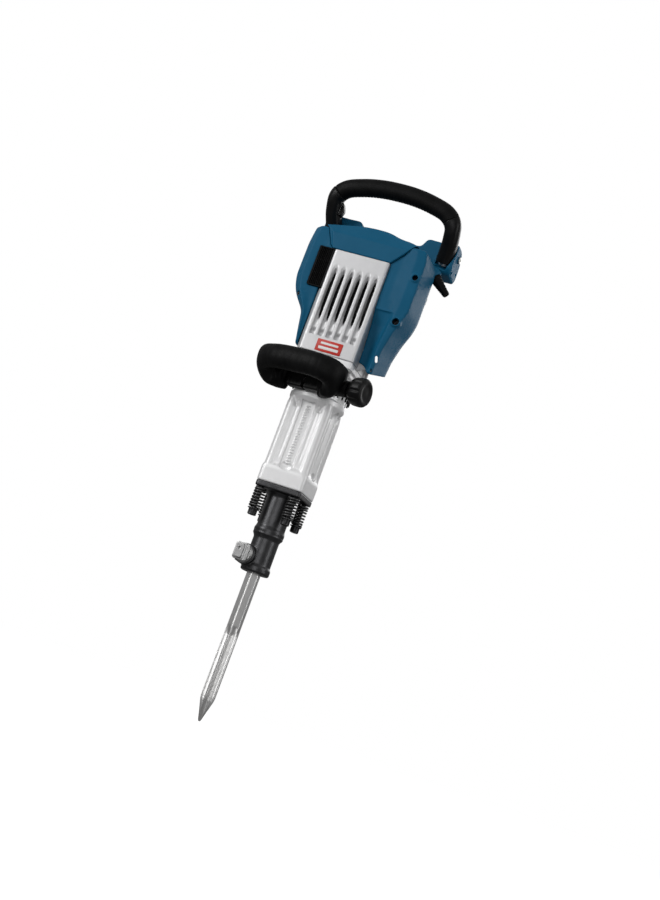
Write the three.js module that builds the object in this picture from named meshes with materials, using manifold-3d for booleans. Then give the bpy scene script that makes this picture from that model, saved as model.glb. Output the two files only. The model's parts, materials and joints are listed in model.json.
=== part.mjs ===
// An upright electric jackhammer: chisel tip at the origin, +Z up the tool's axis,
// the ribbed metal front facing -Y, and +X to the user's left when the tool is held.
// Lengths are in millimetres.
import * as THREE from 'three';
import { mergeVertices } from 'three/addons/utils/BufferGeometryUtils.js';
import Module from 'manifold-3d';

const wasm = await Module();
wasm.setup();

// ---- driving dimensions ----
const GAP = 0.3;                       // between touching pieces
const CLEAR = 0.4;                     // round running pieces in their bores
// levels up the tool
const POINT_Z = 38;                    // top of the four-sided point
const FLUTE_Z = 164;                   // where the fluted part meets the hexagonal part
const MOUTH_Z = 266;                   // lower end of the tool holder
const SHANK_TOP_Z = 380;
const LOCK_Z = 291;
const HEAD_LOW_Z = 357.5;              // lower end of the four spring screws
const SPRING_LOW_Z = 370;
const FLANGE_LOW_Z = 409.5;
const FLANGE_TOP_Z = 419;
const RIM_Z = 590;                     // shelf that the side handle's band sits on
const JOINT_LOW_Z = 646;               // underside of the barrel's top flange
const JOINT_Z = 660;                   // barrel to gear housing
const WALL_TOP_Z = 843;                // side walls of the gear housing
const PANEL_TOP_Z = 849;               // ribbed front panel
const MOTOR_Z = 859;
// chisel and holder
const BODY_HEX_R = 12.95;
const SHANK_HEX_R = 16.5;
const LOCK_X = -18;
const LOCK_R = 7.5;
const TUBE_R = 23.3;
const UPPER_TUBE_R = 25.3;
const SCREW_X = 31.5;
const SCREW_Y = 30;
const SPRING_R = 10.6;
// striking mechanism
const CYLINDER_R = 31;
const BORE_R = 25.4;
const PISTON_R = 25;
const CRANK_THROW = 16;
const ROD_LENGTH = 70;
// gears: module and teeth
const FAST_MODULE = 1.5;
const SLOW_MODULE = 2;
const PINION_TEETH = 9;
const WHEEL_TEETH = 33;
const SMALL_TEETH = 11;
const CRANK_TEETH = 33;
const LAYSHAFT_Z = MOTOR_Z - FAST_MODULE * (PINION_TEETH + WHEEL_TEETH) / 2;
const CRANK_Z = LAYSHAFT_Z - SLOW_MODULE * (SMALL_TEETH + CRANK_TEETH) / 2;
// housing
const PANEL_HALF = 50.5;
const SIDE = 52;
const FRONT_Y = -50;
const BACK_Y = 46;
const WALL = 4;
const COVER_FRONT_Y = -46;
const COVER_BACK_Y = 52;
// handles
const LEG_SECTION = [14.5, 17];        // half width, half depth
const BAR_SECTION = [16.5, 16];
const BRACKET_OUT_X = 129;
const POST_X = 82;
const POST_Y = 82;
const SIDE_HANDLE_TURN = -13;          // degrees about the tool's axis
const BAND_R = 55;
const COLLAR_R = 47;
const KNOB_Z = 606;
const CLAMP_BOLT_Y = -57;
const KNOB_X = 88;

// ---- colours: [colour, roughness, metalness] ----
const FINISH = {
  blue: [0x1f6283, 0.5, 0.0],
  silver: [0xc9cacc, 0.42, 0.75],
  rubber: [0x17181a, 0.85, 0.0],
  plastic: [0x202225, 0.6, 0.0],
  gunmetal: [0x34353a, 0.45, 0.7],
  steel: [0xb4b5b6, 0.35, 0.9],
  spring: [0x26272b, 0.4, 0.6],
  red: [0xb8322a, 0.5, 0.0],
  copper: [0xa5622f, 0.4, 0.8],
  laminate: [0x77787c, 0.55, 0.7],
  board: [0x2b5a3c, 0.6, 0.0],
  carbon: [0x2e2e30, 0.9, 0.0],
};

// ---- geometry helpers ----
// A closed indexed geometry with shared vertices and its faces pointing out.
function tidy(geometry) {
  const bare = geometry.clone();
  bare.deleteAttribute('normal');
  bare.deleteAttribute('uv');
  const merged = mergeVertices(bare, 1e-4);
  const at = merged.attributes.position;
  const index = Array.from(merged.index.array);
  const [a, b, c] = [new THREE.Vector3(), new THREE.Vector3(), new THREE.Vector3()];
  let volume = 0;
  for (let i = 0; i < index.length; i += 3) {
    a.fromBufferAttribute(at, index[i]);
    b.fromBufferAttribute(at, index[i + 1]);
    c.fromBufferAttribute(at, index[i + 2]);
    volume += a.dot(b.cross(c));
  }
  if (volume < 0) {
    for (let i = 0; i < index.length; i += 3) {
      [index[i], index[i + 1]] = [index[i + 1], index[i]];
    }
  }
  merged.setIndex(index);
  return merged;
}

function solid(geometry) {
  const closed = tidy(geometry);
  return new wasm.Manifold(new wasm.Mesh({
    numProp: 3,
    vertProperties: new Float32Array(closed.attributes.position.array),
    triVerts: new Uint32Array(closed.index.array),
  }));
}

function geometryOf(manifold) {
  const mesh = manifold.getMesh();
  const geometry = new THREE.BufferGeometry();
  geometry.setAttribute('position', new THREE.BufferAttribute(new Float32Array(mesh.vertProperties), 3));
  geometry.setIndex(new THREE.BufferAttribute(new Uint32Array(mesh.triVerts), 1));
  return geometry;
}

// The first solid with `extra` joined on, then `holes` cut away.
function carve(first, extra = [], holes = []) {
  let result = solid(first);
  for (const piece of extra) result = result.add(solid(piece));
  for (const hole of holes) result = result.subtract(solid(hole));
  return geometryOf(result);
}

function box(low, high) {
  const size = high.map((value, i) => value - low[i]);
  const geometry = new THREE.BoxGeometry(...size);
  return geometry.translate(...high.map((value, i) => (value + low[i]) / 2));
}

const BASIS = {
  x: new THREE.Matrix4().makeBasis(
    new THREE.Vector3(0, 1, 0), new THREE.Vector3(0, 0, 1), new THREE.Vector3(1, 0, 0)),
  y: new THREE.Matrix4().makeBasis(
    new THREE.Vector3(1, 0, 0), new THREE.Vector3(0, 0, 1), new THREE.Vector3(0, 1, 0)),
  z: new THREE.Matrix4(),
};

// An outline in the other two axes (in x, y, z order), extruded along `axis`.
function prism(axis, outline, low, high, holes = []) {
  const shape = new THREE.Shape(outline.map(([u, v]) => new THREE.Vector2(u, v)));
  for (const hole of holes) {
    shape.holes.push(new THREE.Path(hole.map(([u, v]) => new THREE.Vector2(u, v))));
  }
  const geometry = new THREE.ExtrudeGeometry(shape, { depth: high - low, bevelEnabled: false });
  return geometry.translate(0, 0, low).applyMatrix4(BASIS[axis]);
}

function circle(u, v, radius, sides) {
  return Array.from({ length: sides }, (_, i) => {
    const angle = 2 * Math.PI * (i + 0.5) / sides;
    return [u + radius * Math.cos(angle), v + radius * Math.sin(angle)];
  });
}

function rod(axis, u, v, radius, low, high, sides = 20) {
  return prism(axis, circle(u, v, radius, sides), low, high);
}

function roundedRect(halfU, halfV, radius, steps = 3, centreV = 0) {
  const points = [];
  for (const [su, sv, start] of [[1, 1, 0], [-1, 1, 1], [-1, -1, 2], [1, -1, 3]]) {
    for (let i = 0; i <= steps; i += 1) {
      const angle = (start + i / steps) * Math.PI / 2;
      points.push([
        su * (halfU - radius) + radius * Math.cos(angle),
        centreV + sv * (halfV - radius) + radius * Math.sin(angle),
      ]);
    }
  }
  return points;
}

function hexagon(radius) {
  return Array.from({ length: 6 }, (_, i) => {
    const angle = Math.PI / 6 + i * Math.PI / 3;
    return [radius * Math.cos(angle), radius * Math.sin(angle)];
  });
}

// A turned piece about Z; the profile is [radius, z] and closes on itself or on the axis.
function turned(profile, sides = 24) {
  const points = profile.map(([r, z]) => new THREE.Vector2(r, z));
  return new THREE.LatheGeometry(points, sides).rotateX(Math.PI / 2);
}

function turnedRing(profile, sides = 24) {
  return turned([...profile, profile[0]], sides);
}

// A solid skinned over rings that all have the same number of [x, y, z] points.
function loft(rings) {
  const count = rings[0].length;
  const position = rings.flat(2);
  const index = [];
  for (let r = 0; r + 1 < rings.length; r += 1) {
    for (let i = 0; i < count; i += 1) {
      const next = (i + 1) % count;
      const [a, b] = [r * count + i, r * count + next];
      index.push(a, b, b + count, a, b + count, a + count);
    }
  }
  const flat = rings[0].map((p) => new THREE.Vector2(p[0], p[1]));
  const caps = THREE.ShapeUtils.triangulateShape(flat, []);
  const last = (rings.length - 1) * count;
  const clockwise = THREE.ShapeUtils.isClockWise(flat);
  for (const [a, b, c] of caps) {
    const order = clockwise ? [a, b, c] : [c, b, a];
    index.push(...order);
    index.push(last + order[2], last + order[1], last + order[0]);
  }
  const geometry = new THREE.BufferGeometry();
  geometry.setAttribute('position', new THREE.Float32BufferAttribute(position, 3));
  geometry.setIndex(index);
  return geometry;
}

// An elliptical tube along a curve in space, its section square to the curve.
// `size(t)` gives the half widths across and along `up`; `holeSize` hollows it.
function sweep(curve, steps, size, sides = 10, startT = 0, endT = 1) {
  const rings = [];
  for (let s = 0; s <= steps; s += 1) {
    const t = startT + (endT - startT) * s / steps;
    const centre = curve.getPoint(t);
    const along = curve.getTangent(t);
    const depth = new THREE.Vector3(0, 1, 0);
    depth.addScaledVector(along, -depth.dot(along)).normalize();
    const across = new THREE.Vector3().crossVectors(along, depth);
    const [halfAcross, halfDepth] = size(t);
    rings.push(Array.from({ length: sides }, (_, i) => {
      const angle = 2 * Math.PI * i / sides;
      const point = centre.clone()
        .addScaledVector(across, halfAcross * Math.cos(angle))
        .addScaledVector(depth, halfDepth * Math.sin(angle));
      return point.toArray();
    }));
  }
  const index = [];
  for (let r = 0; r < steps; r += 1) {
    for (let i = 0; i < sides; i += 1) {
      const next = (i + 1) % sides;
      const [a, b] = [r * sides + i, r * sides + next];
      index.push(a, b, b + sides, a, b + sides, a + sides);
    }
  }
  for (let i = 1; i + 1 < sides; i += 1) {
    index.push(0, i + 1, i);
    index.push(steps * sides, steps * sides + i, steps * sides + i + 1);
  }
  const geometry = new THREE.BufferGeometry();
  geometry.setAttribute('position', new THREE.Float32BufferAttribute(rings.flat(2), 3));
  geometry.setIndex(index);
  return geometry;
}

const tool = new THREE.Group();

function addTo(group, name, geometry, finish) {
  const [color, roughness, metalness] = FINISH[finish];
  const material = new THREE.MeshStandardMaterial({ color, roughness, metalness });
  const mesh = new THREE.Mesh(tidy(geometry), material);
  mesh.name = name;
  group.add(mesh);
  return mesh;
}

const add = (name, geometry, finish) => addTo(tool, name, geometry, finish);
const CORNERS = [[-1, -1], [1, -1], [1, 1], [-1, 1]];

// ---- chisel: blunt four-sided point, fluted blade, hexagonal body and shank ----
function chisel() {
  const starRing = (outer, inner, z) => Array.from({ length: 12 }, (_, i) => {
    const angle = Math.PI / 6 + i * Math.PI / 6;
    const radius = i % 2 === 0 ? outer : inner;
    return [radius * Math.cos(angle), radius * Math.sin(angle), z];
  });
  const blade = loft([
    starRing(2.2, 1.9, 0),
    starRing(BODY_HEX_R, 9.6, POINT_Z),
    starRing(BODY_HEX_R + 0.3, 9.6, FLUTE_Z - 8),
    starRing(BODY_HEX_R, BODY_HEX_R * Math.cos(Math.PI / 6), FLUTE_Z + 4),
  ]);
  const body = prism('z', hexagon(BODY_HEX_R), FLUTE_Z + 3.9, MOUTH_Z + 2.1);
  const shank = prism('z', hexagon(SHANK_HEX_R), MOUTH_Z + 2, SHANK_TOP_Z);
  const notch = box([-20, -20, 272], [LOCK_X + LOCK_R + GAP, 20, LOCK_Z + LOCK_R + GAP]);
  return carve(blade, [body, shank], [notch]);
}

// ---- tool holder: tube with a square flange that the four spring screws hold up ----
function toolHolder() {
  const tube = turned([
    [0, MOUTH_Z], [22, MOUTH_Z], [25.8, MOUTH_Z + 3.5], [25.8, MOUTH_Z + 12], [TUBE_R, MOUTH_Z + 15.5],
    [TUBE_R, 328], [27.4, 333], [27.4, 342], [UPPER_TUBE_R, 350], [UPPER_TUBE_R, 394],
    [27.5, 404], [31.5, FLANGE_LOW_Z + 0.5], [31.5, FLANGE_TOP_Z], [0, FLANGE_TOP_Z],
  ]);
  const flange = prism('z', roundedRect(42.5, 41, 3, 1), FLANGE_LOW_Z, FLANGE_TOP_Z);
  const boss = rod('y', LOCK_X, LOCK_Z, 18.5, -31, 26, 20);
  const screwHoles = CORNERS.map(([sx, sy]) => (
    rod('z', sx * SCREW_X, sy * SCREW_Y, 4.6, FLANGE_LOW_Z - 1, FLANGE_TOP_Z + 1, 12)));
  return carve(tube, [flange, boss], [
    ...screwHoles,
    prism('z', hexagon(SHANK_HEX_R + 0.45), MOUTH_Z - 1, 394),
    rod('z', 0, 0, 15.6, 393, FLANGE_TOP_Z + 1, 16),
    rod('y', LOCK_X, LOCK_Z, LOCK_R + CLEAR, -40, 21, 16),
  ]);
}

// ---- locking pin: half cut away, so that half a turn frees the shank ----
function lockPin() {
  const pin = rod('y', LOCK_X, LOCK_Z, LOCK_R, -32, 20, 16);
  const cut = box([LOCK_X - 12, -18.5, LOCK_Z - 12], [LOCK_X - 2.4, 18.5, LOCK_Z + 12]);
  const head = rod('y', LOCK_X, LOCK_Z, 17, -41, -31.4, 20);
  const gripWide = box([LOCK_X - 13, -47, LOCK_Z - 11], [LOCK_X + 9, -40.9, LOCK_Z + 12]);
  const gripNarrow = box([LOCK_X - 12, -51, LOCK_Z - 9], [LOCK_X - 1, -46.9, LOCK_Z + 10]);
  return carve(pin, [head, gripWide, gripNarrow], [cut]);
}

// ---- one of the four spring screws, and the sleeve its spring fills ----
function springScrew(sx, sy) {
  const [x, y] = [sx * SCREW_X, sy * SCREW_Y];
  const head = rod('z', x, y, 7.8, HEAD_LOW_Z, SPRING_LOW_Z - 1.8, 12);
  const washer = rod('z', x, y, 10.4, SPRING_LOW_Z - 1.9, SPRING_LOW_Z - GAP, 16);
  const shaft = rod('z', x, y, 4, SPRING_LOW_Z - 1, 438, 10);
  const socket = prism('z', circle(x, y, 4.2, 6), HEAD_LOW_Z - 1, HEAD_LOW_Z + 5);
  return carve(head, [washer, shaft], [socket]);
}

function springSleeve(sx, sy) {
  const [x, y] = [sx * SCREW_X, sy * SCREW_Y];
  return prism('z', circle(x, y, SPRING_R, 14), SPRING_LOW_Z, FLANGE_LOW_Z - GAP,
    [circle(x, y, 7.4, 10)]);
}

// ---- barrel: four screw ribs at the corners, a round collar, a flange on top ----
function barrel() {
  const foot = prism('z', roundedRect(43.5, 42, 5, 2), FLANGE_TOP_Z + GAP, 447);
  const body = prism('z', roundedRect(41.5, 40, 10.5, 3), 446, RIM_Z - 1);
  const rim = rod('z', 0, 0, 50.6, 580, RIM_Z, 28);
  const collar = rod('z', 0, 0, COLLAR_R, RIM_Z - 2, JOINT_LOW_Z + 1, 28);
  const flange = box([-SIDE, FRONT_Y, JOINT_LOW_Z], [SIDE, BACK_Y, JOINT_Z - GAP]);
  const recesses = [
    box([-13, -45, 457], [13, -37.4, 574]),
    box([-13, 37.4, 457], [13, 45, 574]),
    box([38.9, -13, 457], [46, 13, 574]),
    box([-46, -13, 457], [-38.9, 13, 574]),
  ];
  const screwHoles = CORNERS.map(([sx, sy]) => (
    rod('z', sx * SCREW_X, sy * SCREW_Y, 4.4, 418, 440, 10)));
  const boltHoles = CORNERS.map(([sx, sy]) => (
    rod('z', sx * 43, sy > 0 ? 37 : -41, 3.6, 640, 662, 10)));
  return carve(foot, [body, rim, collar, flange], [
    ...recesses, ...screwHoles, ...boltHoles,
    rod('z', 0, 0, CYLINDER_R + GAP, 441, 661, 24),
    rod('z', 0, 0, 15.6, 418, 442, 16),
  ]);
}

function housingBolt(sx, sy) {
  const [x, y] = [sx * 43, sy > 0 ? 37 : -41];
  const head = rod('z', x, y, 6.6, 636.5, JOINT_LOW_Z - 1.6, 6);
  const washer = rod('z', x, y, 8, JOINT_LOW_Z - 1.7, JOINT_LOW_Z - GAP, 12);
  return carve(head, [washer, rod('z', x, y, 3.2, JOINT_LOW_Z - 1, 670, 8)]);
}

// ---- striking mechanism ----
function cylinder() {
  return turnedRing([
    [BORE_R, 442], [CYLINDER_R, 442], [CYLINDER_R, 689], [BORE_R, 689],
  ], 24);
}

function impactBolt() {
  return turned([[0, 397], [13.5, 397], [15.2, 399], [15.2, 468], [24.6, 472], [24.6, 498], [16, 501], [0, 501]], 20);
}

function striker() {
  return turned([
    [0, 505], [15, 505], [25, 511], [25, 560], [22.6, 562], [22.6, 568], [25, 570], [25, 594], [0, 594],
  ], 20);
}

function piston() {
  const crown = turned([
    [0, 655], [PISTON_R, 655], [PISTON_R, 664], [22.4, 666], [22.4, 672], [PISTON_R, 674], [PISTON_R, 688], [0, 688],
  ], 20);
  const eyeZ = CRANK_Z + CRANK_THROW - ROD_LENGTH;
  const prongs = [-1, 1].map((side) => box(
    [side > 0 ? 10.4 : -17.5, -9, 687], [side > 0 ? 17.5 : -10.4, 9, eyeZ + 9]));
  return carve(crown, prongs, [rod('x', 0, eyeZ, 4.6, -20, 20, 12)]);
}

function connectingRod() {
  const bigZ = CRANK_Z + CRANK_THROW;
  const smallZ = bigZ - ROD_LENGTH;
  const bigEnd = rod('x', 0, bigZ, 11.5, -7.5, 7.5, 20);
  const smallEnd = rod('x', 0, smallZ, 8, -7.5, 7.5, 16);
  const pin = rod('x', 0, smallZ, 4, -9.6, 9.6, 12);
  const beam = prism('x', [[-5, smallZ], [5, smallZ], [7, bigZ], [-7, bigZ]], -4, 4);
  return carve(bigEnd, [smallEnd, beam, pin], [rod('x', 0, bigZ, 6.4, -9, 9, 16)]);
}

function crankshaft() {
  const web = prism('x', circle(0, CRANK_Z, 27, 24), 12, 22);
  const pin = rod('x', 0, CRANK_Z + CRANK_THROW, 6, -8.5, 12.5, 14);
  const shaft = rod('x', 0, CRANK_Z, 9, 21, 66.3, 16);
  return carve(web, [pin, shaft]);
}

// ---- gears: stub teeth; `phase` is the angle from +Y towards +Z of a tooth or gap ----
function gearOutline(teeth, module, centreZ, phase, gapFirst) {
  const pitch = teeth * module / 2;
  const play = 0.14 * module;
  const addendum = 0.85 * module;
  const dedendum = 1.15 * module;
  const slope = Math.tan(Math.PI / 9);
  const half = Math.PI * module / 4 - play;
  const points = [];
  for (let i = 0; i < teeth; i += 1) {
    const middle = phase + (i + (gapFirst ? 0.5 : 0)) * 2 * Math.PI / teeth;
    const corners = [
      [pitch - dedendum, -(half + slope * dedendum)],
      [pitch + addendum, -(half - slope * addendum)],
      [pitch + addendum, half - slope * addendum],
      [pitch - dedendum, half + slope * dedendum],
    ];
    for (const [radius, offset] of corners) {
      const angle = middle + Math.atan2(offset, radius);
      points.push([radius * Math.cos(angle), centreZ + radius * Math.sin(angle)]);
    }
  }
  return points;
}

const DOWN = -Math.PI / 2;
const UP = Math.PI / 2;

function motorPinion() {
  return prism('x', gearOutline(PINION_TEETH, FAST_MODULE, MOTOR_Z, DOWN, false), 67, 79,
    [circle(0, MOTOR_Z, 4.3, 10)]);
}

function intermediateGear() {
  const wheel = prism('x', gearOutline(WHEEL_TEETH, FAST_MODULE, LAYSHAFT_Z, UP, true), 69, 77);
  const small = prism('x', gearOutline(SMALL_TEETH, SLOW_MODULE, LAYSHAFT_Z, DOWN, false), 55, 69.1);
  return carve(wheel, [small, rod('x', 0, LAYSHAFT_Z, 4, SIDE + 0.7, 80.6, 12)]);
}

function crankGear() {
  return prism('x', gearOutline(CRANK_TEETH, SLOW_MODULE, CRANK_Z, UP, true), 56, 65,
    [circle(0, CRANK_Z, 9.3, 14)]);
}

// ---- motor ----
function armature() {
  const along = (radius, low, high, sides) => rod('x', 0, MOTOR_Z, radius, low, high, sides);
  return carve(along(6, -72, 60, 12), [
    along(4, 59, 80, 10), along(23, -38, 22, 24), along(14, -60, -46, 18), along(19, -44, -37, 16),
  ]);
}

function stator() {
  return prism('x', circle(0, MOTOR_Z, 37, 24), -36, 20, [circle(0, MOTOR_Z, 24, 24)]);
}

function fan() {
  const disc = prism('x', circle(0, MOTOR_Z, 34, 20), 40, 42.5);
  const hub = rod('x', 0, MOTOR_Z, 12, 28, 41, 14);
  const blades = Array.from({ length: 8 }, (_, i) => {
    const angle = i * Math.PI / 4;
    const blade = box([29, -1.2, 11], [41, 1.2, 33]);
    return blade.rotateX(angle).translate(0, 0, MOTOR_Z);
  });
  return carve(disc, [hub, ...blades], [rod('x', 0, MOTOR_Z, 6.3, 20, 50, 12)]);
}

function bearing(low, high, outer, inner, z) {
  return prism('x', circle(0, z, outer, 18), low, high, [circle(0, z, inner, 12)]);
}

function brush(side) {
  const holder = box([-59, 15.2, MOTOR_Z - 5], [-48, 36, MOTOR_Z + 5]);
  return side > 0 ? holder : holder.rotateX(Math.PI).translate(0, 0, 2 * MOTOR_Z);
}

// ---- gear housing: open casting with six scooped flutes down its front ----
function flute(x) {
  const [low, high, deepest] = [690, 822, 6.4];
  const outline = [[FRONT_Y - 2, low], [FRONT_Y + 2.4, low]];
  for (let i = 1; i < 6; i += 1) {
    const t = i / 6;
    outline.push([FRONT_Y + deepest * Math.sin(Math.PI * (0.12 + 0.88 * t)), low + t * (high - low)]);
  }
  outline.push([FRONT_Y, high], [FRONT_Y - 2, high]);
  return prism('x', outline, x - 4.4, x + 4.4);
}

function gearHousing() {
  const outline = [
    [-58, -40], [-PANEL_HALF, FRONT_Y], [PANEL_HALF, FRONT_Y], [SIDE, FRONT_Y + 2], [SIDE, BACK_Y], [-58, BACK_Y],
  ];
  const shell = prism('z', outline, JOINT_Z, PANEL_TOP_Z);
  const wing = prism('y', [[52.5, 650], [70, 652], [80, 662], [80, 680], [51, 680], [51, 661], [52.5, 661]], -40, 40);
  const flutes = [-38.3, -23, -7.7, 7.7, 23, 38.3].map((x) => flute(x + 0.6));
  return carve(shell, [wing], [
    ...flutes,
    box([-SIDE + 5, -41, 667], [SIDE - 5, BACK_Y - 5, 860]),
    box([-70, -41, WALL_TOP_Z], [60, 60, 860]),
    box([-70, -60, 772], [-51.2, -40, 860]),
    rod('z', 0, 0, CYLINDER_R + GAP, 655, 670, 24),
    rod('x', 0, CRANK_Z, 14.3, 40, 60, 16),
    box([53, -34, 654], [74, 34, 676]),
    ...CORNERS.map(([sx, sy]) => rod('z', sx * 43, sy > 0 ? 37 : -41, 3.5, 655, 671, 8)),
  ]);
}

function gearCover() {
  const around = (radiusLow, radiusHigh) => {
    const points = [];
    for (let i = 0; i <= 10; i += 1) {
      const angle = Math.PI + i * Math.PI / 10;
      points.push([radiusLow * Math.cos(angle), CRANK_Z + radiusLow * Math.sin(angle)]);
    }
    for (let i = 0; i <= 8; i += 1) {
      const angle = i * Math.PI / 8;
      points.push([radiusHigh * Math.cos(angle), 846 + radiusHigh * Math.sin(angle)]);
    }
    return points;
  };
  return carve(prism('x', around(39, 32), SIDE + 0.4, 84), [], [
    prism('x', around(36.4, 29.4), SIDE, 81),
  ]);
}

// ---- side covers: thin shells lofted up the tool from a few levels ----
// A level is [z, ridge x, shoulder x, side x, front y next to the panel].
const RIGHT_LEVELS = [
  [649, 80, 86, 88, -40], [668, 82, 90, 91, -40], [700, 84, 91, 94, -38], [734, 84, 98, 103, -38],
  [758, 91, 106, 112, -43], [776, 95, 110, 115, -45], [868, 96, 110, 115, -45], [884, 92, 106, 111, -45],
  [890, 88, 100, 104, -43],
];
const LEFT_LEVELS = [
  [667, 62, 67, 68, -43], [703, 67, 74.5, 75, -43], [730, 70, 78.5, 80, -43], [757, 88, 99.9, 102, -43],
  [774, 94, 107, 110, -45], [792, 97, 111, 113, -45], [853, 97, 110.5, 113, -45], [882, 92, 106, 110, -45],
  [888, 88, 101, 104, -43],
];

function coverRings(levels, inset, innerX, lowZ, highZ) {
  return levels.map(([z, ridge, shoulder, side, rootY]) => {
    const level = Math.min(Math.max(z, lowZ), highZ);
    return [
      [innerX, rootY + inset], [innerX + (ridge - innerX) * 0.45, rootY + 1 + inset],
      [ridge - inset * 0.4, COVER_FRONT_Y + inset], [shoulder - inset * 0.8, -30 + inset * 0.6],
      [side - inset, 36 - inset * 0.3], [Math.max(side - 10 - inset, innerX + 3), COVER_BACK_Y - inset],
      [innerX, COVER_BACK_Y - inset],
    ].map(([x, y]) => [x, y, level]);
  });
}

function sideCover(levels, innerX, holes) {
  const lowZ = levels[0][0];
  const highZ = levels[levels.length - 1][0];
  const shell = loft(coverRings(levels, 0, innerX, lowZ, highZ));
  const hollow = loft(coverRings(levels, WALL, innerX - 8, lowZ + WALL, highZ - WALL));
  return carve(shell, [], [hollow, ...holes]);
}

const RELIEF_AT = new THREE.Vector3(106, 44, 877);
const RELIEF_TO = new THREE.Vector3(143, 47, 846);

function alongRelief(geometry) {
  const along = RELIEF_TO.clone().sub(RELIEF_AT).normalize();
  const turn = new THREE.Quaternion().setFromUnitVectors(new THREE.Vector3(0, 0, 1), along);
  return geometry.applyQuaternion(turn).translate(...RELIEF_AT.toArray());
}

function strainRelief() {
  return alongRelief(turnedRing([[3.4, 0], [9.6, 0], [9.2, 12], [4.8, 46], [3.4, 48]], 14));
}

function rightCover() {
  const reliefHole = alongRelief(rod('z', 0, 0, 10.2, -16, 20, 14));
  const slant = prism('x', [[-60, 640], [-44, 649], [60, 677], [60, 640]], 50, 120);
  const corner = prism('y', [
    [49, 640], [49, 671], [58, 668.5], [65, 665], [71, 658], [77, 653], [84, 647.5], [84, 640]], -60, 60);
  return sideCover(RIGHT_LEVELS, SIDE + 0.6, [
    reliefHole, corner, slant, box([50, -41, 640], [82.2, 41, 682]),
    rod('y', 104, 836, 3.4, -60, -25, 10), rod('y', 97, 750, 4.4, -60, -25, 12),
  ]);
}

function leftCover() {
  const window = box([50, -60, 774.2], [81.2, -40, 850]);
  const shell = sideCover(LEFT_LEVELS, 58.6, [window, rod('y', 92, 757, 3.4, -60, -25, 10)]);
  return shell.scale(-1, 1, 1);
}

function airGrille() {
  const plate = box([-80.9, -45, 774.5], [-51.6, -42, 849.7]);
  const ribs = Array.from({ length: 6 }, (_, i) => (
    box([-79.8 + i * 4.9, -48.5, 776], [-77.2 + i * 4.9, -44.9, 848])));
  return carve(plate, ribs);
}

// ---- hood over the motor, and the back cover ----
const HOOD_OUTLINE = [
  [-57, 850.3], [-57.5, 889], [-88, 892], [-57, 899.5], [-19, 908.5], [29, 909.5],
  [52, 901], [74, 899], [91, 893.5], [51.8, 892.5], [51.8, 850.3],
];

function topHood() {
  const shell = prism('y', HOOD_OUTLINE, -48, 56);
  const hollow = prism('y', [
    [-53, 840], [-53, 893.5], [-19, 904], [29, 905], [47.8, 897], [47.8, 840],
  ], -25, 52);
  const nose = prism('x', [[-43.5, 840], [-43.5, 884], [-25, 890], [-24, 840]], -53, 47.8);
  const slope = prism('x', [[-60, 882], [-48.5, 883], [-30, 912], [-30, 930], [-60, 930]], -100, 100);
  return carve(shell, [], [hollow, nose, slope, box([-62, -40, 848], [62, 40, 884])]);
}

function rearCover() {
  const plate = box([-57, 47, 662], [51, 56, 849.8]);
  const vents = Array.from({ length: 7 }, (_, i) => box([-38, 40, 764 + i * 9], [38, 60, 768 + i * 9]));
  return carve(plate, [], [box([-53, 46, 668], [47, 51.5, 844]), ...vents]);
}

function frontLabel() {
  return box([-22.4, FRONT_Y - GAP - 0.8, 663.2], [25.6, FRONT_Y - GAP, 685]);
}

// ---- damped main handle ----
const HANDLE_POINTS = [
  [108, 70, 905], [111.5, 57, 926], [115, 41, 948], [113, 28, 971], [99, 23, 986], [67, 21, 996.5], [33, 20, 1002],
];
const HANDLE_PATH = new THREE.CatmullRomCurve3([
  ...HANDLE_POINTS.map(([x, y, z]) => new THREE.Vector3(-x, y, z)),
  new THREE.Vector3(0, 20, 1003.5),
  ...HANDLE_POINTS.map(([x, y, z]) => new THREE.Vector3(x, y, z)).reverse(),
], false, 'centripetal');
const GRIP_START = 0.245;
const LEG_TOP = 0.235;
const LEG_LOW = 0.028;
const TUBE_SECTION = [9.5, 9.5];
const TUBE_ROOM = [10.8, 10.8];

function hollowSweep(steps, outer, inner, startT, endT, sides) {
  const past = 0.01;
  const skin = sweep(HANDLE_PATH, steps, () => outer, sides, startT, endT);
  const bore = sweep(HANDLE_PATH, steps + 2, () => inner, sides, startT - past, endT + past);
  return solid(skin).subtract(solid(bore));
}

function mainGrip() {
  return geometryOf(hollowSweep(14, BAR_SECTION, TUBE_ROOM, GRIP_START, 1 - GRIP_START, 10));
}

const ROCKER = { x: -100.5, y: 41, z: 952 };

function legCover(side) {
  const [from, to] = side < 0 ? [LEG_LOW, LEG_TOP] : [1 - LEG_TOP, 1 - LEG_LOW];
  let cover = hollowSweep(7, LEG_SECTION, TUBE_ROOM, from, to, 10);
  if (side < 0) {
    const pocket = box([ROCKER.x - 3.2, ROCKER.y - 7.5, ROCKER.z - 13.5], [ROCKER.x + 9, ROCKER.y + 7.5, ROCKER.z + 13.5]);
    cover = cover.subtract(solid(pocket));
  }
  return geometryOf(cover);
}

function handleTube() {
  return sweep(HANDLE_PATH, 34, () => TUBE_SECTION, 10, 0.012, 0.988);
}

function switchRocker() {
  const { x, y, z } = ROCKER;
  return prism('y', [
    [x - 0.8, z - 12], [x + 2.6, z - 12], [x + 5.8, z - 2], [x + 4.8, z + 2], [x + 0.8, z + 12], [x - 0.8, z + 12],
  ], y - 6.8, y + 6.8);
}

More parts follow.
